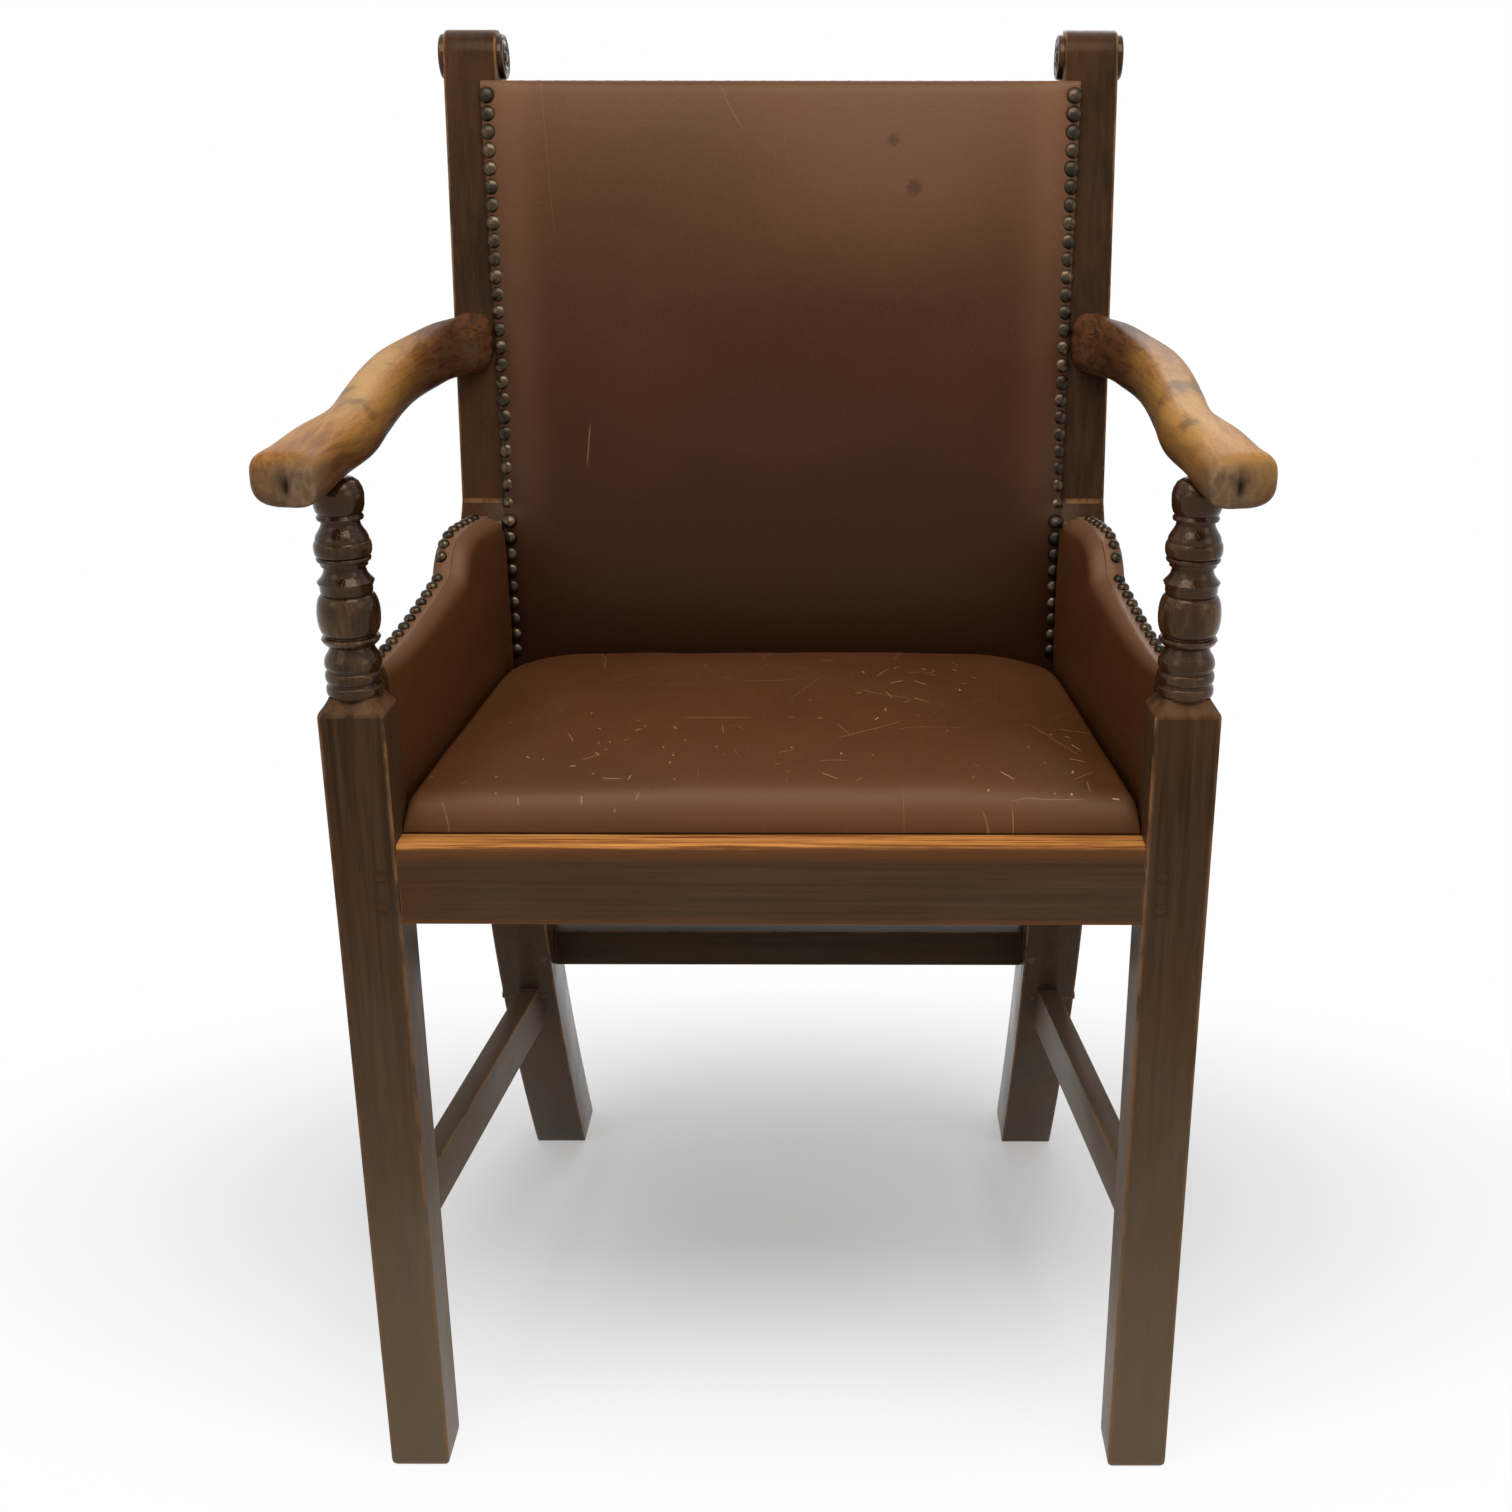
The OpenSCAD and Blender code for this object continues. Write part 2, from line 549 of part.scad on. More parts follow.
// Corner blocks glued and screwed into the seat frame's corners
block_z = rail_top - rail_h + 4;
block_h = 24;
block_run = 46;
module corner_block(e) let (
        y0 = e == 0 ? rail_y + rail_t + fit : rear_rail_y - fit, d = e == 0 ? 1 : -1,
        x0 = e == 0 ? leg_in : post_in, y1 = e == 0 ? leg_d + fit : post_y - fit)
    translate([0, 0, block_z]) linear_extrude(block_h) polygon([
        [x0 - block_run, y0], [x0 - fit, y0], [x0 - fit, y1],
        [rail_x(y1) - side_rail_t - fit, y1],
        [rail_x(y1 + d * block_run) - side_rail_t - fit, y1 + d * block_run]]);
// Distances of the screws from the leg or post beside them, and of their heads from the rail
block_screw_off = 30;
block_screw_deep = 14;
bearer_screw_off = 35;
bearer_screw_deep = 9;
// Points into the wood along -Z. With recess, the hole for its head runs on outwards.
module screw(recess) {
    translate([0, 0, -screw_l]) cylinder(r = screw_r, h = screw_l + eps, $fn = 16);
    cylinder(r1 = screw_r, r2 = 2 * screw_r, h = screw_r, $fn = 24);
    if (recess) translate([0, 0, screw_r - eps]) cylinder(r = 2 * screw_r + 0.5, h = 40, $fn = 24);
}
// One screw into each rail that a block joins
module screw_side(y, deep, z, recess) translate([rail_x(y) - side_rail_t - deep, y, z])
    rotate([0, -90, 0]) screw(recess);
module block_screws(recess) let (z = block_z + block_h / 2) {
    translate([leg_in - block_screw_off, rail_y + rail_t + block_screw_deep, z])
        rotate([-90, 0, 0]) screw(recess);
    translate([post_in - block_screw_off, rear_rail_y - block_screw_deep, z])
        rotate([90, 0, 0]) screw(recess);
    screw_side(leg_d + block_screw_off, block_screw_deep, z, recess);
    screw_side(post_y - block_screw_off, block_screw_deep, z, recess);
}
module corner_blocks() color(oak) to_frame() both() difference() {
    for (e = [0, 1]) corner_block(e);
    block_screws(true);
}

// Bearers on the side rails carry the loose seat's frame
seat_front_x = leg_in - 2 * loose;
seat_rear_x = post_in - 3;
function seat_x(y) = seat_front_x + (seat_rear_x - seat_front_x) * (y - seat_y0) / (seat_y1 - seat_y0);
bearer_lap = 10;
bearer_h = 12;
module bearer() let (y0 = leg_d + loose, y1 = post_y - loose)
    translate([0, 0, bar_z - bearer_h]) linear_extrude(bearer_h)
        polygon([[seat_x(y0) - bearer_lap, y0], [rail_x(y0) - side_rail_t, y0],
            [rail_x(y1) - side_rail_t, y1], [seat_x(y1) - bearer_lap, y1]]);
module bearer_screws(recess) for (s = [-1, 1]) screw_side(leg_d + side_run / 2 + s * bearer_screw_off,
    bearer_screw_deep, bar_z - bearer_h / 2, recess);
module seat_bearer(s) color(oak) to_frame() side(s) difference() {
    bearer();
    bearer_screws(true);
}
module seat_bearer_left() seat_bearer(1);
module seat_bearer_right() seat_bearer(-1);
module frame_screws() color(steel) to_frame() both() {
    block_screws(false);
    bearer_screws(false);
}

// Oak pegs through the frame's joints
module peg_x(y, z, x0, x1, gap) translate([x0, y, z]) rotate([0, 90, 0])
    cylinder(r = peg_r + gap, h = x1 - x0, $fn = 24);
module peg_y(x, z, y0, y1, gap) translate([x, y1, z]) rotate([90, 0, 0])
    cylinder(r = peg_r + gap, h = y1 - y0, $fn = 24);
peg_proud = 0.6;
module pegs(gap) let (z = rail_top - rail_h / 2 - 6) {
    // Front rail, one above the other
    for (dz = [-10, 12]) peg_y(leg_in + 11, z + dz, -peg_proud, rail_y + 8 + tenon_t + 4, gap);
    // Side rail in the leg and in the post
    peg_x(leg_d - 6, z, rail_x(leg_d) - 7 - tenon_t - 3, leg_out + peg_proud, gap);
    peg_x(post_y + 10, z, rail_x(post_y + 10) - 7 - tenon_t - 1.5, post_out + peg_proud, gap);
    // Rear rail
    peg_y(post_in + 7, z, rear_rail_y + 3, post_y + post_d + peg_proud, gap);
    // Side stretcher at both ends
    peg_x(leg_d - 8, stretcher_z - stretcher_h / 2, leg_in + 4, leg_out + peg_proud, gap);
    peg_x(leg_face(stretcher_z) + 10, stretcher_z - stretcher_h / 2 + 2, post_in + 8,
        post_out + peg_proud, gap);
    // Rear stretcher, from the post's front face
    peg_y(post_in + 6, rear_stretcher_z + rear_stretcher_h / 2,
        leg_face(rear_stretcher_z + rear_stretcher_h / 2) - peg_proud,
        rear_stretcher_y + 6 + tenon_t, gap);
    // Arm's tenon in the post
    peg_x(root_face + 10, arm_root_z - arm_h / 2 - 2, root_x - 4, post_out + peg_proud, gap);
}
module frame_pegs() color(oak) to_frame() both() pegs(0);

// Loose seat: four bars, webbing both ways, canvas and cushion
module seat_bar_side() intersection() {
    translate([0, 0, bar_z]) linear_extrude(bar_h) polygon([
        [seat_x(seat_y0), seat_y0], [seat_x(seat_y1), seat_y1],
        [seat_x(seat_y1) - bar_w, seat_y1], [seat_x(seat_y0) - bar_w, seat_y0]]);
    block([0, seat_y0 + bar_w, 0], [front_w, seat_y1 - bar_w, rail_top + bar_h]);
}
module seat_bar_end(y0, y1) translate([0, 0, bar_z]) linear_extrude(bar_h)
    polygon([[-seat_x(y0), y0], [seat_x(y0), y0], [seat_x(y1), y1], [-seat_x(y1), y1]]);
module seat_frame_front_bar() color(oak) to_frame() seat_bar_end(seat_y0, seat_y0 + bar_w);
module seat_frame_rear_bar() color(oak) to_frame() seat_bar_end(seat_y1 - bar_w, seat_y1);
module seat_frame_left_bar() color(oak) to_frame() side(1) seat_bar_side();
module seat_frame_right_bar() color(oak) to_frame() side(-1) seat_bar_side();
web_w = 50;
web_lap = 15;
module seat_webbing() color(jute) to_frame() {
    // Four bands run from front to back, and three lie across them
    for (i = [-1.5:1:1.5]) let (x = i * 1.5 * web_w)
        block([x - web_w / 2, seat_y0 + bar_w - 2 * web_lap, web_z],
            [x + web_w / 2, seat_y1 - bar_w + 2 * web_lap, web_z + web_t]);
    for (i = [-1:1:1]) let (y = (seat_y0 + seat_y1) / 2 + i * 1.4 * web_w, x = seat_x(y) - web_lap)
        block([-x, y - web_w / 2, web_z + web_t], [x, y + web_w / 2, web_z + 2 * web_t]);
}
cushion_y1 = post_y - back_edge - loose - 0.62 * back_crown;
// The cushion fills the width between the front legs and between the side pads
function cushion_x(y) = min(leg_in - 2 * loose, pad_x(y) - loose);
module seat_canvas() color(jute) to_frame() translate([0, 0, canvas_z]) linear_extrude(canvas_t)
    polygon([for (p = [[-1, 0], [1, 0], [1, 1], [-1, 1]])
        let (y = p[1] == 0 ? seat_y0 + 8 : cushion_y1 - 4) [p[0] * (seat_x(y) - 10), y]]);
// The rim's roll is lowest in front, and the crown rises from it in rounded rings. Lift says how
// much of the rise to the back a ring has.
cushion_loop = square_loop(48, 14);
function cushion_ring(scale, z, lift) = [for (p = cushion_loop)
    let (v = p[1] * scale, y = (seat_y0 + cushion_y1) / 2 + v * (cushion_y1 - seat_y0) / 2)
    [p[0] * scale * cushion_x(y), y, z + lift * seat_rise * (v + 1) / 2]];
rim_steps = [[1, 0], [1, 0.4], [0.994, 0.72], [0.98, 0.92], [0.96, 1]];
crown_steps = [0.88, 0.74, 0.56, 0.36, 0.16];
module seat_cushion() color(hide) to_frame() let (top = rail_top + seat_rim) lofted(concat(
    [cushion_ring(0.97, cushion_z, 0), cushion_ring(0.985, cushion_z, 0)],
    [for (r = rim_steps) cushion_ring(r[0], cushion_z + (top - cushion_z) * r[1], r[1])],
    [for (t = crown_steps) cushion_ring(t, top + seat_crown * (1 - pow(t, 2.2)), 1)]));

// Back: webbing on the rails, crowned pad nailed to the posts, and a leather cover behind
back_low_z = cushion_z + 5;
function nail_x(z) = inner_x(z) + post_lap - 3;
module back_webbing() color(jute) to_frame() {
    for (i = [-1:1:1]) back_strip(i * 2 * web_w - web_w / 2, i * 2 * web_w + web_w / 2);
}
module back_strip(x0, x1) along_x(x0, x1) polygon(concat(
    [for (z = back_heights) [face_y(z) + web_back, z]],
    [for (z = backwards(back_heights)) [face_y(z) + web_back - web_t, z]]));
back_heights = [low_rail_z + 6, step_low, step_z, top_rail_z + top_rail_h - 6];
// The pad's face is a grid in X and Z, and its crown fades at its edges. Two rows lie on the step.
pad_nx = 18;
pad_nz = 23;
pad_step = 7;
function pad_half(z) = inner_x(z) + post_lap;
function edge_fade(t) = pow(max(0, 1 - pow(abs(t), 3.2)), 0.62);
function eased(i, n) = let (t = 2 * i / n - 1) sign(t) * (1 - pow(1 - abs(t), 1.5));
function back_z(j) = j <= pad_step ? back_low_z + (step_low - back_low_z) * pow(j / pad_step, 1.5)
    : back_top_z - (back_top_z - step_z) * pow((pad_nz - j) / (pad_nz - pad_step - 1), 1.5);
function back_point(i, j, front) = let (z = back_z(j), tx = eased(i, pad_nx),
        tz = (2 * z - back_low_z - back_top_z) / (back_top_z - back_low_z))
    [tx * pad_half(z), face_y(z) - (front ? back_edge + back_crown * edge_fade(tx) * edge_fade(tz) : 0), z];
// A solid between two grids of points, nx by nz cells each
module grid_solid(nx, nz, front, rear) {
    w = nx + 1;
    n = w * (nz + 1);
    function quad(a, b, c, d) = [[a, c, b], [a, d, c]];
    skins = [for (i = [0:nx - 1]) for (j = [0:nz - 1]) let (a = j * w + i) for (f = concat(
        quad(a, a + 1, a + w + 1, a + w), quad(n + a + 1, n + a, n + a + w, n + a + w + 1))) f];
    ends = [for (i = [0:nx - 1]) let (a = nz * w + i) for (f = concat(
        quad(i + 1, i, n + i, n + i + 1), quad(a, a + 1, n + a + 1, n + a))) f];
    sides = [for (j = [0:nz - 1]) let (a = j * w, b = a + nx) for (f = concat(
        quad(a, a + w, n + a + w, n + a), quad(b + w, b, n + b, n + b + w))) f];
    polyhedron(concat(front, rear), concat(skins, ends, sides));
}
module back_pad() color(hide) to_frame() grid_solid(pad_nx, pad_nz,
    [for (j = [0:pad_nz]) for (i = [0:pad_nx]) back_point(i, j, true)],
    [for (j = [0:pad_nz]) for (i = [0:pad_nx]) back_point(i, j, false)]);
// The outside cover closes the back between the posts, lying on the rails' rear faces
module outside_back_cover() color(hide) to_frame() intersection() {
    along_x(-post_out, post_out) polygon(concat(
        [for (z = cover_heights) [face_y(z) + back_rail_t, z]],
        [for (z = [cover_top, back_top_z]) [face_y(z), z]],
        [for (z = backwards(concat(cover_low, [back_top_z]))) [face_y(z) + back_rail_t + leather_t, z]]));
    along_y(0, 2 * foot_y) polygon([for (s = [-1, 1]) for (z = s < 0 ? [0, step_z, post_top]
        : [post_top, step_z, 0]) [s * (inner_x(z) - 1), z]]);
}
cover_top = back_top_z - leather_t;
cover_low = [low_rail_z + 2, step_low, step_z];
cover_heights = concat(cover_low, [cover_top]);

// Side pads on the boards' inner faces, and covers that wrap over the boards' tops to the outside
side_nz = 12;
side_ny = 20;
side_y0 = leg_d + loose;
side_y1 = post_y - back_edge - nail_h - loose;
function side_top(y) = panel_z(y) - 1;
function side_point(i, j, front) = let (ty = eased(i, side_ny), tz = eased(j, side_nz),
        y = (side_y0 + side_y1) / 2 + ty * (side_y1 - side_y0) / 2, low = rail_top + loose,
        z = (low + side_top(y)) / 2 + tz * (side_top(y) - low) / 2, edge = rail_x(y) - board_off - panel_t,
        depth = edge - pad_x(y) - side_crown)
    [front ? edge - max(leather_t, depth * edge_fade(tz)) - side_crown * edge_fade(ty) * edge_fade(tz)
        : edge - fit, y, z];
module side_pad(s) color(hide) to_frame() side(s) grid_solid(side_ny, side_nz,
    [for (j = [0:side_nz]) for (i = [0:side_ny]) side_point(i, j, false)],
    [for (j = [0:side_nz]) for (i = [0:side_ny]) side_point(i, j, true)]);
module side_pad_left() side_pad(1);
module side_pad_right() side_pad(-1);
module outside_cover(s) color(hide) to_frame() side(s) difference() {
    panel(board_off - leather_t, panel_t + leather_t, leather_t, rail_top);
    panel(board_off, panel_t + 1, 0, rail_top - 1);
}
module outside_cover_left() outside_cover(1);
module outside_cover_right() outside_cover(-1);

// Upholstery nails: a domed head on a short shank
module nail() rotate_extrude($fn = 24) polygon(concat([[0, -shank_l], [shank_r, -shank_l], [shank_r, 0]],
    [for (a = [0:45:90]) [nail_d / 2 * cos(a), nail_h * sin(a)]]));
seat_nail_z = cushion_z + 38;
back_nail_count = floor((back_top_z - 8 - seat_nail_z) / nail_pitch);
function face_tilt(z) = z >= step_z ? lean : z > step_low ? atan(step_d / (step_z - step_low)) : 0;
module back_nail(x, z) translate([x, face_y(z) - back_edge, z]) rotate([90 - face_tilt(z), 0, 0]) nail();
module back_nails(s) color(antique_brass) to_frame() side(s)
    for (i = [0:back_nail_count]) let (z = back_top_z - 8 - i * nail_pitch) back_nail(nail_x(z), z);
module back_nails_left() back_nails(1);
module back_nails_right() back_nails(-1);
top_nail_count = 2 * floor((inner_x(back_top_z) - nail_d) / nail_pitch);
module back_nails_top() color(antique_brass) to_frame()
    for (i = [0:top_nail_count]) translate([(i - top_nail_count / 2) * nail_pitch,
        face_y(back_top_z) + 0.5 * back_rail_t, back_top_z]) nail();
// The outside cover is nailed to the top and bottom rails
module outside_back_nails() color(antique_brass) to_frame()
    for (z = [low_rail_z + 12, back_top_z - 14]) for (i = [-outside_nail_count:outside_nail_count])
        outside_nail(2 * i * nail_pitch, z);
outside_nail_count = floor((post_in - nail_d) / (2 * nail_pitch));
module outside_nail(x, z) translate([x, face_y(z) + back_rail_t + leather_t, z])
    rotate([-90 - face_tilt(z), 0, 0]) nail();
// They stand a pitch apart along the panel's top edge
function panel_slope(y) = atan((panel_z(y + 1) - panel_z(y - 1)) / 2);
side_nail_ys = [for (y = leg_d + nail_d / 2 + 1; y < post_y - nail_d / 2 - 1;
    y = y + nail_pitch * cos(panel_slope(y))) y];
module side_nails(s) color(antique_brass) to_frame() side(s)
    for (y = side_nail_ys)
        translate([rail_x(y) - board_off - 3.5, y, panel_z(y) + leather_t])
            rotate([panel_slope(y), 0, 0]) nail();
module side_nails_left() side_nails(1);
module side_nails_right() side_nails(-1);

front_leg_left();
front_leg_right();
rear_post_left();
rear_post_right();
scroll_bosses_left();
scroll_bosses_right();
arm_left();
arm_right();
front_seat_rail();
side_seat_rail_left();
side_seat_rail_right();
rear_seat_rail();
side_stretcher_left();
side_stretcher_right();
rear_stretcher();
back_top_rail();
back_bottom_rail();
side_board_left();
side_board_right();
corner_blocks();
frame_screws();
seat_bearer_left();
seat_bearer_right();
frame_pegs();
seat_frame_front_bar();
seat_frame_rear_bar();
seat_frame_left_bar();
seat_frame_right_bar();
seat_webbing();
seat_canvas();
seat_cushion();
back_webbing();
back_pad();
outside_back_cover();
side_pad_left();
side_pad_right();
outside_cover_left();
outside_cover_right();
back_nails_left();
back_nails_right();
back_nails_top();
outside_back_nails();
side_nails_left();
side_nails_right();
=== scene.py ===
import math
import random

import bmesh
import bpy
from mathutils import Matrix, Vector, noise


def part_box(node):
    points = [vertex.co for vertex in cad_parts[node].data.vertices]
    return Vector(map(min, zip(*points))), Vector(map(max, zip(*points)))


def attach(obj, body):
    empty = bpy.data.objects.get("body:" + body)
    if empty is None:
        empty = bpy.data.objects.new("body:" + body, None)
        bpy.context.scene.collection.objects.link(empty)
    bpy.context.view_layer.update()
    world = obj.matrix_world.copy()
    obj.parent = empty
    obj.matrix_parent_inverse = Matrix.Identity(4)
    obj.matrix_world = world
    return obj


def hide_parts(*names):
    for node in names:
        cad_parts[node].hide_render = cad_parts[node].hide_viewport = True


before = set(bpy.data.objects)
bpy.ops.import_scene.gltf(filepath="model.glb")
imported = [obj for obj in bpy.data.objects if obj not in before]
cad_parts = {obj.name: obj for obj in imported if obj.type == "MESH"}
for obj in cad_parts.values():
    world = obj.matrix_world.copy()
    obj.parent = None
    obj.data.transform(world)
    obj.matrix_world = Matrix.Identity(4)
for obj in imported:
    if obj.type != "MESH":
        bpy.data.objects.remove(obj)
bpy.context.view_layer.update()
bpy.context.scene.view_settings.view_transform = "Standard"

# Sizes are in metres. Lengths along Y are counted back from the front faces of the front legs, and
# finished() moves them into the frame. X is measured outwards on the left side, and +X is left.
ARM_OVER = 0.050
FRONT_Y = -0.219
ROOT = "root"
SIDES = ((1, "left"), (-1, "right"))

# Front legs and seat rails
LEG_OUT, LEG_W = 0.275, 0.041
LEG_D = 0.038
LEG_H, TURNED_H, TURNED_R = 0.572, 0.133, 0.019
LEG_IN = LEG_OUT - LEG_W
LEG_X, LEG_Y = LEG_OUT - LEG_W / 2, LEG_D / 2
RAIL_TOP, RAIL_H, RAIL_T, SIDE_RAIL_T = 0.478, 0.054, 0.034, 0.024
LEDGE, REBATE = 0.019, 0.014

# Rear posts
POST_OUT, POST_W, POST_TOP_W = 0.240, 0.045, 0.038
POST_IN, POST_TOP_IN = POST_OUT - POST_W, POST_OUT - POST_TOP_W
POST_Y, POST_D, POST_UP_D = 0.283, 0.050, 0.036
STEP_Z, STEP_D, LEAN, POST_TOP = 0.635, 0.012, math.radians(7), 0.964
STEP_LOW = STEP_Z - 1.25 * STEP_D
FOOT_Y, FOOT_D, BEND_Z = 0.432, 0.056, 0.330
SCROLL_R = POST_UP_D / 2 / math.cos(LEAN)
SCROLL_Z = POST_TOP - SCROLL_R
BOSS_R, BOSS_T = 0.0155, 0.005

# Arms
ARM_ROOT_Z, ARM_H, ARM_FALL, ARM_BOW, ARM_W, ARM_END_W = 0.770, 0.041, 0.040, 0.005, 0.033, 0.044
END_SHIFT = 0.0135
POST_LAP = 0.011

# Stretchers
STRETCHER_T, STRETCHER_H, STRETCHER_Z, STRETCHER_FALL = 0.017, 0.038, 0.226, 0.009
REAR_STRETCHER_Z, REAR_STRETCHER_H, REAR_STRETCHER_T = 0.236, 0.031, 0.018

# Panels and leather
PANEL_OFF, PANEL_T = 0.006, 0.011
PAD_FRONT_T, PAD_SWELL = 0.0095, 0.0085
SIDE_RUN = POST_Y - LEG_D
LEATHER_T = 0.0016
BACK_TOP = 0.928
CUSHION_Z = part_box("seat_cushion")[0].z
SEAT_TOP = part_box("seat_cushion")[1].z
BACK_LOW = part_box("back_pad")[0].z
BACK_RAIL_T = 0.022
NAIL_R, NAIL_H, NAIL_PITCH = 0.0058, 0.0038, 0.0124


# --- The chair's lines ---

def leg_face(z):
    return POST_Y + (FOOT_Y - POST_Y) * max(0, 1 - z / BEND_Z) ** 1.35


def leg_depth(z):
    return POST_D + (FOOT_D - POST_D) * max(0, 1 - z / BEND_Z)


def face_y(z):
    """The posts' front face: raked foot, upright part, step and leaning part"""
    if z >= STEP_Z:
        return POST_Y + STEP_D + (z - STEP_Z) * math.tan(LEAN)
    if z > STEP_LOW:
        return POST_Y + STEP_D * (z - STEP_LOW) / (STEP_Z - STEP_LOW)
    return leg_face(z)


def inner_x(z):
    return POST_IN + (POST_TOP_IN - POST_IN) * max(0, z - STEP_Z) / (POST_TOP - STEP_Z)


def rail_x(y):
    """The outer faces of the side rails, which the panels follow"""
    return LEG_OUT - 0.015 + (POST_OUT - 0.005 - LEG_OUT + 0.015) * (y - LEG_D) / SIDE_RUN


def panel_in(y):
    """The inner faces of the side boards"""
    return rail_x(y) - PANEL_OFF - PANEL_T


def pad_x(y):
    """The innermost line of the side pads, which are thicker at the rear"""
    return panel_in(y) - PAD_FRONT_T - PAD_SWELL * (y - LEG_D) / SIDE_RUN


def unit(x):
    return min(1, max(0, x))


def curve(stops, x):
    """A smooth curve through (position, value) pairs"""
    if x <= stops[0][0]:
        return stops[0][1]
    if x >= stops[-1][0]:
        return stops[-1][1]

    def slope(i):
        if i in (0, len(stops) - 1):
            return 0
        return (stops[i + 1][1] - stops[i - 1][1]) / (stops[i + 1][0] - stops[i - 1][0])

    i = max(i for i in range(len(stops) - 1) if x >= stops[i][0])
    h = stops[i + 1][0] - stops[i][0]
    t = (x - stops[i][0]) / h
    a, b, p, q = stops[i][1], stops[i + 1][1], h * slope(i), h * slope(i + 1)
    return a + t * (p + t * (3 * (b - a) - 2 * p - q + t * (p + q - 2 * (b - a))))


PANEL_LINE = [(0, 0.582), (0.1, 0.583), (0.25, 0.587), (0.37, 0.592), (0.51, 0.599), (0.59, 0.604),
              (0.615, 0.613), (0.645, 0.621), (0.7, 0.626), (0.78, 0.627), (1, STEP_LOW + 0.004)]


def panel_z(y):
    return curve(PANEL_LINE, (y - LEG_D) / SIDE_RUN)


# --- Shader helpers ---

def srgb(r, g, b):
    """A colour written as 0 to 255, as a shader takes it"""
    linear = [c / 3294.6 if c <= 10.3 else ((c / 255 + 0.055) / 1.055) ** 2.4 for c in (r, g, b)]
    return (*linear, 1)


def put(tree, kind, inputs=None, **settings):
    """A shader node with its settings, and each input set to a value or linked to a socket"""
    made = tree.nodes.new("ShaderNode" + kind)
    for key, value in settings.items():
        setattr(made, key, value)
    for key, value in (inputs or {}).items():
        if isinstance(value, bpy.types.NodeSocket):
            tree.links.new(value, made.inputs[key])
        else:
            made.inputs[key].default_value = value
    return made


def blend(tree, factor, a, b):
    """Colour a goes over to b by factor"""
    return put(tree, "Mix", {0: factor, 6: a, 7: b}, data_type="RGBA").outputs[2]


def remap(tree, value, low, high, to_low=0.0, to_high=1.0):
    """A value from low to high becomes one from to_low to to_high, smoothly"""
    return put(tree, "MapRange", {"Value": value, "From Min": low, "From Max": high,
                                  "To Min": to_low, "To Max": to_high},
               interpolation_type="SMOOTHSTEP").outputs[0]


def spread(tree, grain, low=0.0, high=1.0):
    """The range that a noise mostly has becomes low to high"""
    return remap(tree, grain, 0.3, 0.7, low, high)


def maths(tree, operation, a, b):
    return put(tree, "Math", {0: a, 1: b}, operation=operation).outputs[0]


def times(tree, a, b):
    return maths(tree, "MULTIPLY", a, b)


def highest(tree, a, b):
    return maths(tree, "MAXIMUM", a, b)


def vectors(tree, operation, a, b):
    return put(tree, "VectorMath", {0: a, 1: b}, operation=operation).outputs[0]


def coordinates(tree):
    return put(tree, "TexCoord").outputs["Object"]


def part_of(tree, vector, i):
    return put(tree, "SeparateXYZ", {0: vector}).outputs[i]


def stretched(tree, scale, shift=(0, 0, 0)):
    """Object coordinates, scaled and then shifted"""
    return put(tree, "Mapping", {"Vector": coordinates(tree), "Scale": scale, "Location": shift}).outputs[0]


def grainy(tree, place, scale=1.0, detail=3.0, roughness=0.5, distortion=0.0):
    return put(tree, "TexNoise", {"Vector": place, "Scale": scale, "Detail": detail,
                                  "Roughness": roughness, "Distortion": distortion}).outputs[0]


def named(tree, name):
    """A value that the mesh carries"""
    return put(tree, "Attribute", attribute_name=name).outputs["Fac"]


def new_material(name, **sockets):
    made = bpy.data.materials.new(name)
    made.use_nodes = True
    tree = made.node_tree
    shader = tree.nodes["Principled BSDF"]
    for key, value in sockets.items():
        shader.inputs[key.replace("_", " ")].default_value = value
    return made, tree, shader


def along(axis, across, lengthwise):
    """Scales for a grain that runs along one axis"""
    return tuple(lengthwise if i == axis else across for i in range(3))


def dress(tree, shader, colour, rough=None, relief=None, strength=0.3, depth=0.0003):
    """Links a colour, a roughness and a relief to the shader"""
    sockets = {"Base Color": colour, "Roughness": rough}
    if relief is not None:
        bump = {"Strength": strength, "Distance": depth, "Height": relief}
        sockets["Normal"] = put(tree, "Bump", bump).outputs[0]
    for key, socket in sockets.items():
        if socket is not None:
            tree.links.new(socket, shader.inputs[key])


# --- Materials ---

WARM_SHEEN, LEATHER_SHEEN = (0.62, 0.46, 0.32, 1), (0.8, 0.64, 0.54, 1)
# The first tone is the wood's paler tone towards the floor, painted floor light with some fading; the second
# is the hide's paler tone of wear and painted sheen
FADED_AND_FLOOR_LIT, WORN_AND_SHEEN_HIDE, SCRATCH = srgb(118, 101, 80), srgb(140, 102, 74), srgb(184, 142, 104)


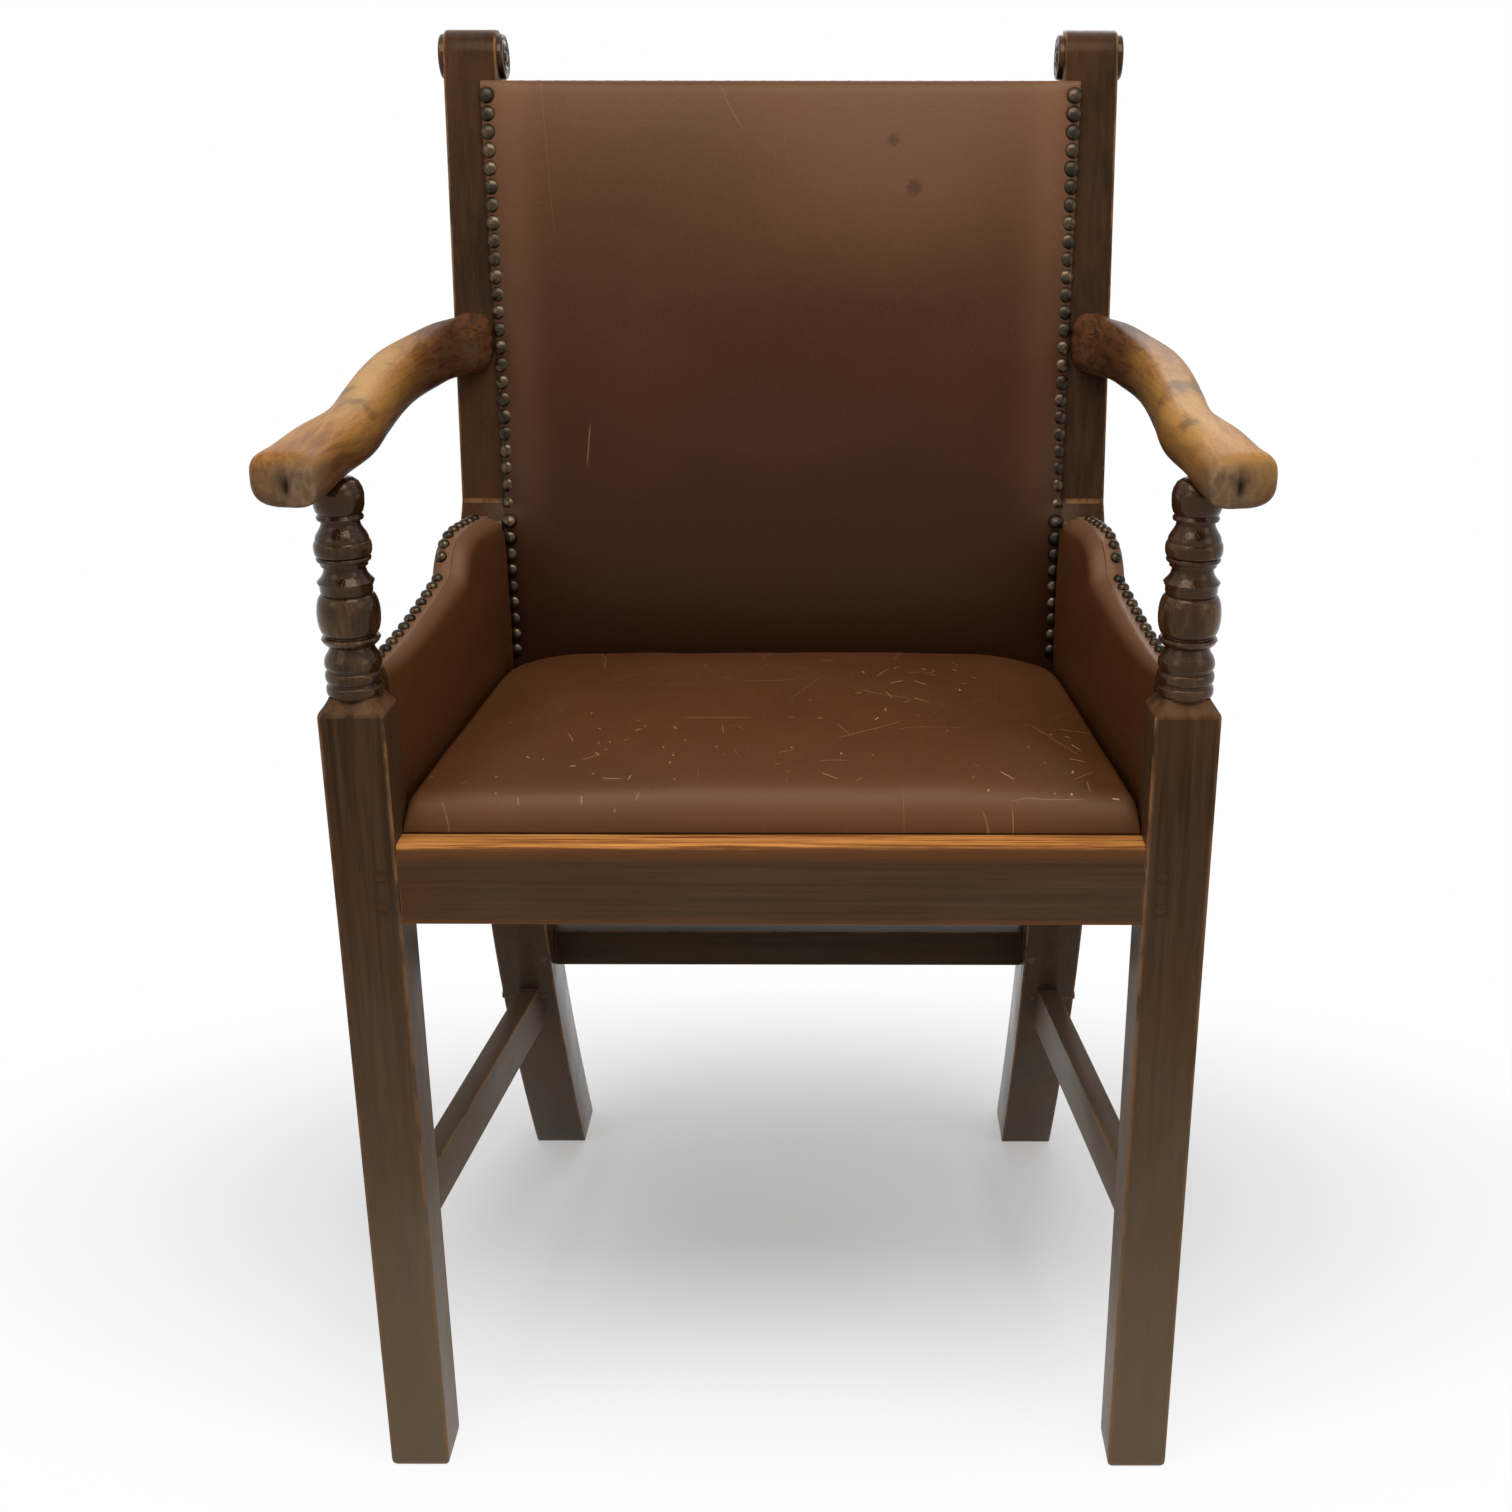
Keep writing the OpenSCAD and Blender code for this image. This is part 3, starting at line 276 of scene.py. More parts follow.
def oak(name, axis, tones, gloss=0.08, rough=(0.32, 0.46), wear_and_sheen_range=(0.34, 0.6), pale=0.8, fine=190):
    """Stained oak whose grain runs along an axis, with open pores, rubbed edges and feet that are paler
    towards the floor, as painted floor light with some fading. The tones are those of the pores, the body,
    the warm clouds and the rubbed wood, which also gives the turned crests their painted highlight."""
    made, tree, shader = new_material(name, Specular_IOR_Level=gloss, Specular_Tint=WARM_SHEEN)
    deep, body, warm, worn_and_sheen = (srgb(*tone) for tone in tones)
    figure = grainy(tree, stretched(tree, along(axis, fine, 7)), detail=5, roughness=0.6, distortion=0.3)
    pores = grainy(tree, stretched(tree, along(axis, 1100, 38)), detail=2)
    cloud = grainy(tree, stretched(tree, along(axis, 16, 7), (3, 1, 2)), detail=4)
    colour = blend(tree, spread(tree, figure), deep, body)
    colour = blend(tree, remap(tree, cloud, 0.4, 0.7, 0, 0.6), colour, warm)
    pore = remap(tree, pores, 0.56, 0.68)
    colour = blend(tree, times(tree, pore, 0.4), colour, deep)
    # The wood is paler towards the floor: painted light from the floor, with some fading
    height = part_of(tree, coordinates(tree), 2)
    uneven = maths(tree, "ADD", height, spread(tree, cloud, -0.05, 0.05))
    colour = blend(tree, remap(tree, uneven, 0.52, 0.0, 0, pale), colour, FADED_AND_FLOOR_LIT)
    # Rubbed edges go over to the worn tone, which on turned crests is also a painted highlight
    rubbed = grainy(tree, stretched(tree, along(axis, 90, 30), (1, 5, 2)), detail=4, roughness=0.65)
    wear_and_sheen = times(tree, named(tree, "wear_and_sheen"), remap(tree, rubbed, *wear_and_sheen_range))
    colour = blend(tree, times(tree, wear_and_sheen, 0.85), colour, worn_and_sheen)
    relief = maths(tree, "SUBTRACT", spread(tree, figure, 0, 0.35), pore)
    dress(tree, shader, colour, spread(tree, cloud, *rough), relief)
    return made


def strokes(tree, density, length, width, share, shift):
    """Short straight marks on a level surface: a share of the cells has one, each in its own direction"""
    place = stretched(tree, (1, 1, 0), (shift, shift, 0))
    bent = vectors(tree, "ADD", place, times(tree, grainy(tree, place, 30, detail=1), 0.006))
    scaled = put(tree, "VectorMath", {0: bent, "Scale": density}, operation="SCALE").outputs[0]
    cell = put(tree, "TexVoronoi", {"Vector": scaled, "Scale": 1.0}, voronoi_dimensions="2D").outputs
    seed = put(tree, "SeparateColor", {0: cell["Color"]}).outputs
    local = vectors(tree, "SUBTRACT", scaled, cell["Position"])
    turn = put(tree, "CombineXYZ", {2: times(tree, seed[0], 6.28)}).outputs[0]
    turned = put(tree, "VectorRotate", {"Vector": local, "Rotation": turn}, rotation_type="EULER_XYZ")
    away = put(tree, "VectorMath", {0: turned.outputs[0]}, operation="ABSOLUTE").outputs[0]
    inside = times(tree, remap(tree, part_of(tree, away, 0), length * density / 2, 0.3 * length * density),
                   remap(tree, part_of(tree, away, 1), width * density, 0.3 * width * density))
    chosen = maths(tree, "LESS_THAN", seed[1], share)
    return times(tree, times(tree, inside, chosen), remap(tree, seed[2], 0, 1, 0.35, 1))


def scratches(tree):
    """The seat's marks, most of them at its right front corner"""
    place = coordinates(tree)
    corner = maths(tree, "ADD", part_of(tree, place, 0), times(tree, part_of(tree, place, 1), -0.7))
    thin = grainy(tree, stretched(tree, (9, 9, 9), (4, 2, 7)), detail=3)
    often = times(tree, remap(tree, corner, -0.2, 0.28, 0.35, 1), remap(tree, thin, 0.36, 0.6))
    marks = times(tree, strokes(tree, 24, 0.022, 0.00036, 0.4, 2), 0.75)
    for stroke in ((40, 0.013, 0.0005, 0.28, 5), (75, 0.005, 0.0008, 0.14, 9),
                   (120, 0.0018, 0.0009, 0.07, 14)):
        marks = highest(tree, marks, strokes(tree, *stroke))
    hairs = times(tree, strokes(tree, 14, 0.055, 0.00034, 0.65, 21), 0.42)
    return highest(tree, times(tree, marks, often), hairs)


def scuffs(tree):
    """The few thin marks of the back"""
    lines = times(tree, strokes(tree, 11, 0.035, 0.0003, 0.3, 8), 0.2)
    return highest(tree, lines, times(tree, strokes(tree, 30, 0.006, 0.0006, 0.08, 3), 0.3))


def leather(name, body, deep, marked=None, spots=()):
    """Brown hide with a fine grain and cloudy wear. spots are (x, z, radius) of dark stains on the back."""
    made, tree, shader = new_material(name, Specular_IOR_Level=0.2, Specular_Tint=LEATHER_SHEEN)
    cloud = grainy(tree, stretched(tree, (7, 7, 7)), detail=4, roughness=0.55)
    fine = grainy(tree, stretched(tree, (420, 420, 420)), detail=3)
    colour = blend(tree, spread(tree, cloud), srgb(*deep), srgb(*body))
    colour = blend(tree, remap(tree, fine, 0.5, 0.8, 0, 0.2), colour, srgb(108, 72, 44))
    cells = put(tree, "TexVoronoi", {"Vector": stretched(tree, (620, 620, 620)), "Scale": 1.0},
                feature="DISTANCE_TO_EDGE").outputs["Distance"]
    # The hide is darkened by painted shade and made paler by wear and painted sheen, as each piece's points
    # give them
    colour = blend(tree, named(tree, "shade"), colour, srgb(42, 22, 12))
    colour = blend(tree, times(tree, named(tree, "wear_and_sheen"), 0.75), colour, WORN_AND_SHEEN_HIDE)
    for x, z, radius in spots:
        far = put(tree, "VectorMath", {0: stretched(tree, (1, 0, 1)), 1: (x, 0, z)}, operation="DISTANCE")
        far = maths(tree, "ADD", far.outputs["Value"], spread(tree, fine, -0.001, 0.001))
        colour = blend(tree, remap(tree, far, radius, 0.4 * radius, 0, 0.5), colour, srgb(44, 27, 20))
    relief = maths(tree, "ADD", remap(tree, cells, 0.0, 0.22), spread(tree, fine, 0, 0.5))
    if marked:
        marks = marked(tree)
        colour = blend(tree, marks, colour, SCRATCH)
        relief = maths(tree, "SUBTRACT", relief, marks)
    dress(tree, shader, colour, spread(tree, cloud, 0.34, 0.44), relief, 0.14)
    return made


def aged_metal(name, bright, dull, roughness):
    """Metal that is dull all over and brighter where it is rubbed"""
    made, tree, shader = new_material(name, Metallic=0.8, Specular_IOR_Level=0.4)
    patches = grainy(tree, stretched(tree, (60, 60, 60)), detail=1)
    colour = blend(tree, remap(tree, patches, 0.38, 0.62), dull, bright)
    dress(tree, shader, colour, remap(tree, patches, 0.35, 0.65, roughness + 0.1, roughness))
    return made


def woven(name, light, dark, pitch=0.0016):
    """A plain weave: threads one way and the other"""
    made, tree, shader = new_material(name, Roughness=0.9, Specular_IOR_Level=0.2)
    scale = 1 / pitch
    warp = put(tree, "TexWave", {"Vector": stretched(tree, (scale, 0, 0)), "Scale": 0.5}).outputs["Fac"]
    weft = put(tree, "TexWave", {"Vector": stretched(tree, (0, scale, scale)), "Scale": 0.5},
               bands_direction="DIAGONAL").outputs["Fac"]
    threads = times(tree, warp, weft)
    cloud = grainy(tree, stretched(tree, (60, 60, 60)), detail=4)
    colour = blend(tree, threads, dark, light)
    colour = blend(tree, remap(tree, cloud, 0.4, 0.7, 0, 0.4), colour, dark)
    dress(tree, shader, colour, None, threads, 0.5, 0.0005)
    return made


def worn_arm():
    """Golden oak on the arm's top that turns to dark stain towards the post and underneath"""
    made, tree, shader = new_material("worn_arm", Specular_IOR_Level=0.12, Specular_Tint=WARM_SHEEN)
    figure = grainy(tree, stretched(tree, (220, 12, 220)), detail=6, roughness=0.6, distortion=0.6)
    pores = grainy(tree, stretched(tree, (1000, 60, 1000)), detail=2)
    cloud = grainy(tree, stretched(tree, (22, 9, 22)), detail=3, roughness=0.5)
    gold = blend(tree, spread(tree, figure), srgb(122, 76, 33), srgb(162, 112, 54))
    gold = blend(tree, remap(tree, cloud, 0.4, 0.7, 0, 0.6), gold, srgb(176, 132, 74))
    stain = blend(tree, remap(tree, figure, 0.32, 0.68), srgb(58, 36, 23), srgb(96, 60, 36))
    bare = maths(tree, "ADD", named(tree, "bare"), spread(tree, cloud, -0.12, 0.12))
    colour = blend(tree, remap(tree, bare, 0.0, 1.0), stain, gold)
    # The crown of the arm is palest: rubbed, and with a painted highlight along its top; smudges of the old
    # polish are left
    crown = times(tree, remap(tree, named(tree, "crown"), 0.2, 1), remap(tree, cloud, 0.38, 0.6))
    colour = blend(tree, times(tree, crown, 0.5), colour, srgb(190, 150, 92))
    smudge = grainy(tree, stretched(tree, (30, 22, 30), (2, 6, 1)), detail=3)
    colour = blend(tree, remap(tree, smudge, 0.6, 0.72, 0, 0.65), colour, srgb(84, 62, 42))
    colour = blend(tree, times(tree, remap(tree, pores, 0.6, 0.7), 0.3), colour, srgb(84, 50, 26))
    rings = grainy(tree, stretched(tree, (260, 60, 120)), detail=2, distortion=0.5)
    end_wood = blend(tree, spread(tree, rings), srgb(102, 80, 59), srgb(126, 100, 76))
    colour = blend(tree, named(tree, "end"), colour, end_wood)
    # Painted shade in the eye's groove
    colour = blend(tree, named(tree, "hollow"), colour, srgb(48, 32, 25))
    relief = maths(tree, "SUBTRACT", spread(tree, figure, 0, 0.5), remap(tree, pores, 0.56, 0.68))
    dress(tree, shader, colour, spread(tree, cloud, 0.34, 0.48), relief, 0.35, 0.0004)
    return made


def worn_rail():
    """The front rail: dark stain below, worn to golden wood on its top and along the edge"""
    made = oak("worn_rail", 0, ((68, 47, 31), (83, 58, 38), (90, 58, 36), (136, 98, 66)), fine=420)
    tree = made.node_tree
    shader = tree.nodes["Principled BSDF"]
    under = shader.inputs["Base Color"].links[0].from_socket
    streaks = grainy(tree, stretched(tree, (6, 160, 160)), detail=5, roughness=0.7)
    ragged = spread(tree, streaks, -0.0012, 0.0012)
    height = maths(tree, "ADD", part_of(tree, coordinates(tree), 2), ragged)
    figure = grainy(tree, stretched(tree, (9, 420, 420)), detail=4, roughness=0.7)
    gold = blend(tree, remap(tree, figure, 0.36, 0.6), srgb(120, 66, 30), srgb(204, 138, 72))
    low = RAIL_TOP - RAIL_H
    bare = remap(tree, height, RAIL_TOP - 0.0034, RAIL_TOP - 0.0008)
    warm = times(tree, remap(tree, height, RAIL_TOP - 0.014, RAIL_TOP - 0.002), 0.7)
    lower = times(tree, remap(tree, height, low + 0.005, low + 0.001), 0.6)
    under = blend(tree, highest(tree, warm, lower), under, srgb(112, 70, 40))
    tree.links.new(blend(tree, bare, under, gold), shader.inputs["Base Color"])
    return made


DARK = ((52, 36, 24), (76, 54, 36), (86, 57, 36), (136, 98, 66))
# The posts' and the rear stretcher's tones are the same oak painted darker, as painted shade for the parts
# further back; the posts are also glossier
POLISHED_AND_SHADED = ((40, 27, 17), (58, 40, 25), (78, 48, 28), (124, 88, 56))
SHADED = ((34, 25, 18), (52, 38, 27), (60, 42, 28), (92, 66, 44))
TURNED = ((28, 17, 9), (48, 30, 17), (70, 40, 21), (136, 98, 62))
STAINS = ((0.0805, 0.8905, 0.0058), (0.0955, 0.8585, 0.0074))
MATERIALS = {
    "oak_x": oak("stained_oak_x", 0, DARK),
    "oak_y": oak("stained_oak_y", 1, DARK),
    "oak_z": oak("stained_oak_z", 2, DARK),
    "post": oak("post_oak", 2, POLISHED_AND_SHADED, gloss=0.14, rough=(0.2, 0.3), pale=0.3),
    "rear": oak("rear_oak", 0, SHADED, pale=0.2),
    "turned": oak("turned_oak", 2, TURNED, gloss=0.5, rough=(0.1, 0.18), wear_and_sheen_range=(0.4, 0.95), fine=420),
    "arm": worn_arm(),
    "rail": worn_rail(),
    "seat": leather("seat_leather", (86, 51, 26), (78, 45, 23), scratches),
    "leather": leather("side_leather", (80, 46, 23), (73, 41, 21)),
    "back": leather("back_leather", (76, 43, 23), (68, 38, 20), scuffs, STAINS),
    "brass": aged_metal("antique_brass", srgb(76, 62, 45), srgb(44, 36, 27), 0.24),
    "steel": aged_metal("screw_steel", srgb(150, 150, 152), srgb(96, 96, 98), 0.4),
    "jute": woven("jute", srgb(176, 148, 104), srgb(110, 86, 54)),
}


# --- Mesh helpers ---

def loft(bm, rings):
    """Joins rings of points with equal counts, and closes both ends"""
    rows = [[bm.verts.new(p) for p in ring] for ring in rings]
    n = len(rows[0])
    for low, high in zip(rows, rows[1:]):
        for j in range(n):
            bm.faces.new((low[j], low[(j + 1) % n], high[(j + 1) % n], high[j]))
    bm.faces.new(rows[0][::-1])
    bm.faces.new(rows[-1])
    return rows


def close_skins(bm, a, b):
    """Two grids of points become the two sides of a closed form"""
    columns, rows = len(a[0]) - 1, len(a) - 1
    for j in range(rows):
        for i in range(columns):
            bm.faces.new((a[j][i], a[j][i + 1], a[j + 1][i + 1], a[j + 1][i]))
            bm.faces.new((b[j][i], b[j + 1][i], b[j + 1][i + 1], b[j][i + 1]))
    for j in range(rows):
        for i in (0, columns):
            bm.faces.new((a[j][i], a[j + 1][i], b[j + 1][i], b[j][i]))
    for i in range(columns):
        for j in (0, rows):
            bm.faces.new((a[j][i], b[j][i], b[j][i + 1], a[j][i + 1]))


def circle(x, y, z, r, count=48):
    return [(x + r * math.cos(2 * math.pi * i / count), y + r * math.sin(2 * math.pi * i / count), z)
            for i in range(count)]


def squarish(i, count, power):
    """A point of a superellipse: power 2 is round, and a high one is nearly square"""
    a = 2 * math.pi * (i + 0.5) / count
    return [math.copysign(abs(c) ** (2 / power), c) for c in (math.cos(a), math.sin(a))]


def soften(bm, width, angle):
    """Rounds the sharp edges and marks the new narrow faces as worn"""
    wear_and_sheen = bm.faces.layers.float.new("wear_and_sheen")
    bmesh.ops.recalc_face_normals(bm, faces=bm.faces)
    sharp = [e for e in bm.edges if e.is_manifold and e.calc_face_angle() > math.radians(angle)]
    made = bmesh.ops.bevel(bm, geom=sharp, offset=width, segments=2, profile=0.6, affect="EDGES",
                           clamp_overlap=True)
    for face in made["faces"]:
        longest = max(e.calc_length() for e in face.edges)
        if face.calc_area() < 2 * width * longest:
            face[wear_and_sheen] = 1


def finished(name, bm, material, s=1, smooth=35):
    """Turns a mesh in the side's own measure into a placed object, mirrored for the right side"""
    bmesh.ops.recalc_face_normals(bm, faces=bm.faces)
    bmesh.ops.transform(bm, matrix=Matrix.Translation((0, FRONT_Y, 0)), verts=bm.verts)
    if s < 0:
        bmesh.ops.scale(bm, vec=(-1, 1, 1), verts=bm.verts)
        bmesh.ops.reverse_faces(bm, faces=bm.faces)
    mesh = bpy.data.meshes.new(name)
    bm.to_mesh(mesh)
    bm.free()
    made = bpy.data.objects.new(name, mesh)
    bpy.context.scene.collection.objects.link(made)
    mesh.materials.append(MATERIALS[material])
    mesh.shade_smooth()
    mesh.set_sharp_from_angle(angle=math.radians(smooth))
    return made


def stand_for(piece, slot, *nodes):
    """The piece replaces these CAD nodes and rides with the chair"""
    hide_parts(*nodes)
    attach(piece, ROOT)


def tint(piece, amount, name="wear_and_sheen"):
    """Writes a value for each point: by default its rubbing and painted sheen, under the name shade its
    painted shade
    """
    layer = piece.data.attributes.new(name, "FLOAT", "POINT")
    layer.data.foreach_set("value", [amount(v.co) for v in piece.data.vertices])


# --- Wood ---

def bead(z, h, r_in, r_out, n=9):
    return [(r_in + (r_out - r_in) * math.sin(math.pi * i / n), z + h * (1 - math.cos(math.pi * i / n)) / 2)
            for i in range(n + 1)]


def cove(z, h, r0, r1, n=8):
    return [(r0 + (r1 - r0) * (1 - math.cos(math.pi * i / n)) / 2, z + h * i / n) for i in range(n + 1)]


# Heights as parts of the turned height, radii as parts of its largest radius
TURNED_MEMBERS = (
    bead(0, 0.05, 0.86, 0.93) + bead(0.062, 0.055, 0.84, 0.93)
    + [(0.84, 0.122), (0.9, 0.135), (0.92, 0.15), (0.9, 0.17), (0.84, 0.19), (0.755, 0.208), (0.69, 0.232)]
    + [(0.78, 0.236), (0.88, 0.25), (0.94, 0.266), (0.9, 0.276), (0.8, 0.28)]
    + bead(0.284, 0.19, 0.79, 1, 16)
    + [(0.8, 0.478), (0.83, 0.49), (0.83, 0.51), (0.87, 0.522), (0.9, 0.533), (0.86, 0.54)]
    + [(0.78, 0.552), (0.7, 0.568), (0.66, 0.59), (0.66, 0.602), (0.74, 0.606), (0.76, 0.62)]
    + bead(0.625, 0.026, 0.78, 0.86) + bead(0.653, 0.066, 0.84, 0.91) + cove(0.724, 0.08, 0.84, 0.61)
    + [(0.61, 0.812), (0.72, 0.816), (0.74, 0.826), (0.7, 0.836), (0.68, 0.842)]
    + [(0.74, 0.852), (0.785, 0.875), (0.8, 0.905), (0.805, 0.93), (0.77, 0.955), (0.66, 0.985), (0.5, 1)])


def front_leg(s, word):
    """A square block whose upper corners run into the turning, so that each face ends in an arch"""
    bm = bmesh.new()
    wear_and_sheen = bm.verts.layers.float.new("wear_and_sheen")
    half_w, half_d = LEG_W / 2, LEG_D / 2

    def square(z, inset=0.0, limit=1.0, count=72, power=26):
        ring = []
        for i in range(count):
            u, v = squarish(i, count, power)
            u, v = u * (half_w - inset), v * (half_d - inset)
            out = min(1, limit / math.hypot(u, v))
            ring.append((LEG_X + u * out, LEG_Y + v * out, z))
        return ring

    # The worn foot is rounded at the floor
    rings = [square(0, 0.0032), square(0.001, 0.0018), square(0.003, 0.0005), square(0.006)]
    rings += [square(LEG_H * k / 40) for k in range(1, 39)] + [square(LEG_H - 0.013)]
    arch, arch_h, top_r, spread = 12, 0.012, 0.0178, 0.0112
    for k in range(1, arch + 1):
        t = 1 - k / arch
        rings.append(square(LEG_H - arch_h * t, 0, top_r + spread * t ** 1.25))
    rows = loft(bm, rings)
    for k, row in enumerate(rows):
        for v in row:
            u, w = abs(v.co.x - LEG_X) / half_w, abs(v.co.y - LEG_Y) / half_d
            corner = unit((min(u, w) - 0.86) / 0.1)
            v[wear_and_sheen] = max(corner, 0.8 * (k < 3), 0.35 * (k > len(rows) - arch))
    turned = [(r * TURNED_R, LEG_H + z * TURNED_H) for r, z in TURNED_MEMBERS]
    rows = loft(bm, [circle(LEG_X, LEG_Y, LEG_H - 0.001, 0.8 * TURNED_R)]
                + [circle(LEG_X, LEG_Y, z, r) for r, z in turned])
    # What stands out of the turning is paler, rubbed and with a painted highlight on the crests, and its
    # hollows stay dark as painted shade
    for k, row in enumerate(rows):
        for v in row:
            v[wear_and_sheen] = unit((turned[max(0, k - 1)][0] / TURNED_R - 0.78) / 0.2)
    piece = finished("leg_" + word, bm, "oak_z", s, 42)
    piece.data.materials.append(MATERIALS["turned"])
    for face in piece.data.polygons:
        if face.center.z > LEG_H + 0.0005:
            face.material_index = 1
    stand_for(piece, "stained_oak", "front_leg_" + word)


def prism(name, outline, near, far, material, node, s=1, slot="stained_oak", width=0.0015, angle=28):
    """A bar between two copies of an outline; near and far turn each outline point into a place"""
    bm = bmesh.new()
    loft(bm, [[near(p) for p in outline], [far(p) for p in outline]])
    soften(bm, width, angle)
    stand_for(finished(name, bm, material, s), slot, node)


def post_outline():
    """Front face up, round the scroll and down the back, as (y, z)"""
    steps, turns = 14, 20
    foot = [BEND_Z * i / steps for i in range(steps + 1)]
    front = [(leg_face(z), z) for z in foot] + [(POST_Y, STEP_LOW), (POST_Y + STEP_D, STEP_Z)]
    y0 = face_y(SCROLL_Z) + SCROLL_R
    angles = [math.pi * i / turns for i in range(turns + 1)]
    round_top = [(y0 - SCROLL_R * math.cos(a), SCROLL_Z + SCROLL_R * math.sin(a)) for a in angles]
    back = [(POST_Y + STEP_D + POST_UP_D + 0.002, STEP_Z), (POST_Y + POST_D, STEP_LOW - 0.030)]
    return front + round_top + back + [(leg_face(z) + leg_depth(z), z) for z in foot[::-1]]


def rear_post(s, word):
    prism("post_" + word, post_outline(), lambda p: (POST_OUT, *p), lambda p: (inner_x(p[1]), *p),
          "post", "rear_post_" + word, s, width=0.0018, angle=24)


def bosses(s, word):
    """Turned bosses on both faces of the scroll"""
    profile = [(0.05, 1.0), (0.12, 0.98), (0.22, 0.86), (0.27, 0.62), (0.34, 0.5), (0.42, 0.5), (0.48, 0.66),
               (0.55, 0.82), (0.63, 0.86), (0.7, 0.72), (0.74, 0.58), (0.8, 0.62), (0.88, 0.8), (0.95, 0.76),
               (1.0, 0.55), (1.0, -0.2)]
    bm = bmesh.new()
    y0 = face_y(SCROLL_Z) + SCROLL_R
    # The inner one follows the post's inner face
    tilt = (POST_TOP_IN - POST_IN) / (POST_TOP - STEP_Z)
    for x0, way in ((POST_OUT, 1), (inner_x(SCROLL_Z), -1)):
        loft(bm, [[(x0 + way * h * BOSS_T + tilt * v * (way < 0), y0 + u, SCROLL_Z + v)
                   for u, v, _ in circle(0, 0, 0, r * BOSS_R, 40)] for r, h in profile])
    stand_for(finished("scroll_boss_" + word, bm, "turned", s), "stained_oak", "scroll_bosses_" + word)


def front_rail():
    """Its top edge is worn round"""
    y0, y1, z0, z1 = 0.001, 0.001 + RAIL_T, RAIL_TOP - RAIL_H, RAIL_TOP
    worn_r = 0.0035
    edge = [(y0 + worn_r * (1 - math.sin(a)), z1 - worn_r * (1 - math.cos(a)))
            for a in (math.radians(90 - 15 * i) for i in range(7))]
    outline = [(y0, z0)] + edge + [(y0 + LEDGE, z1), (y0 + LEDGE, z1 - REBATE), (y1, z1 - REBATE), (y1, z0)]
    prism("front_rail", outline, lambda p: (-LEG_IN, *p), lambda p: (LEG_IN, *p), "rail", "front_seat_rail",
          slot="worn_oak", width=0.0006, angle=40)


def side_rail(s, word):
    z0, z1 = RAIL_TOP - RAIL_H, RAIL_TOP
    plan = [(rail_x(LEG_D), LEG_D), (rail_x(POST_Y), POST_Y),
            (rail_x(POST_Y) - SIDE_RAIL_T, POST_Y), (rail_x(LEG_D) - SIDE_RAIL_T, LEG_D)]
    prism("side_rail_" + word, plan, lambda p: (*p, z0), lambda p: (*p, z1), "oak_y",
          "side_seat_rail_" + word, s)


def rear_rail():
    y0, lip = POST_Y + 0.008, 0.008
    z0, z1, y1 = RAIL_TOP - RAIL_H, RAIL_TOP - REBATE, y0 + SIDE_RAIL_T
    outline = [(y0, z0), (y0, z1), (y0 + lip, z1), (y0 + lip, RAIL_TOP), (y1, RAIL_TOP), (y1, z0)]
    prism("rear_rail", outline, lambda p: (-POST_IN, *p), lambda p: (POST_IN, *p), "oak_x", "rear_seat_rail")


def side_stretcher(s, word):
    """Its ends run into the leg and the post"""
    y0, y1 = LEG_D - 0.010, leg_face(STRETCHER_Z) + 0.015
    run = leg_face(STRETCHER_Z) - LEG_D
    drift = POST_IN + 0.014 - LEG_IN

    def x_at(y):
        return LEG_IN + drift * (y - LEG_D) / run

    def top_at(y):
        return STRETCHER_Z - STRETCHER_FALL * (y - LEG_D) / run

    plan = [(x_at(y0) + 0.0005, y0), (x_at(y1), y1), (x_at(y1) + STRETCHER_T, y1),
            (x_at(y0) + STRETCHER_T, y0)]
    prism("side_stretcher_" + word, plan, lambda p: (*p, top_at(p[1]) - STRETCHER_H),
          lambda p: (*p, top_at(p[1])), "oak_y", "side_stretcher_" + word, s)


def rear_stretcher():
    y0 = leg_face(REAR_STRETCHER_Z) + 0.014
    z0, z1 = REAR_STRETCHER_Z, REAR_STRETCHER_Z + REAR_STRETCHER_H
    outline = [(y0, z0), (y0, z1), (y0 + REAR_STRETCHER_T, z1), (y0 + REAR_STRETCHER_T, z0)]
    prism("rear_stretcher_bar", outline, lambda p: (-POST_IN, *p), lambda p: (POST_IN, *p), "rear",
          "rear_stretcher")


# Arm lines: the middle and the width, from the post at 0 to the front end at 1
ARM_ROOT_FACE = face_y(ARM_ROOT_Z - ARM_H / 2)
ARM_RUN = ARM_ROOT_FACE + ARM_OVER
ROOT_IN = inner_x(ARM_ROOT_Z) + POST_LAP + 0.0026
ROOT_X = (POST_OUT + 0.003 + ROOT_IN) / 2
ARM_MID = [(0, ROOT_X), (0.08, ROOT_X + 0.57 * (LEG_X - ROOT_X)), (0.16, LEG_X - 0.9 * ARM_BOW),
           (0.28, LEG_X + 0.7 * ARM_BOW), (0.4, LEG_X + ARM_BOW), (0.56, LEG_X + 0.5 * ARM_BOW),
           (0.7, LEG_X), (0.82, LEG_X + 0.5 * END_SHIFT), (0.92, LEG_X + 0.7 * END_SHIFT),
           (1, LEG_X + END_SHIFT)]
ARM_WIDTH = [(0, POST_OUT + 0.003 - ROOT_IN), (0.08, ARM_W - 0.006), (0.16, ARM_W - 0.004), (0.3, ARM_W),
             (0.7, ARM_W), (0.82, ARM_W + 0.0055), (0.92, ARM_END_W - 0.003), (1, ARM_END_W)]
ARM_SEAT = LEG_H + TURNED_H
LOBE_R = ARM_END_W / 2 - 0.003
# The middle of the upright groove in the end
EYE_X = LEG_X + END_SHIFT - 0.0025


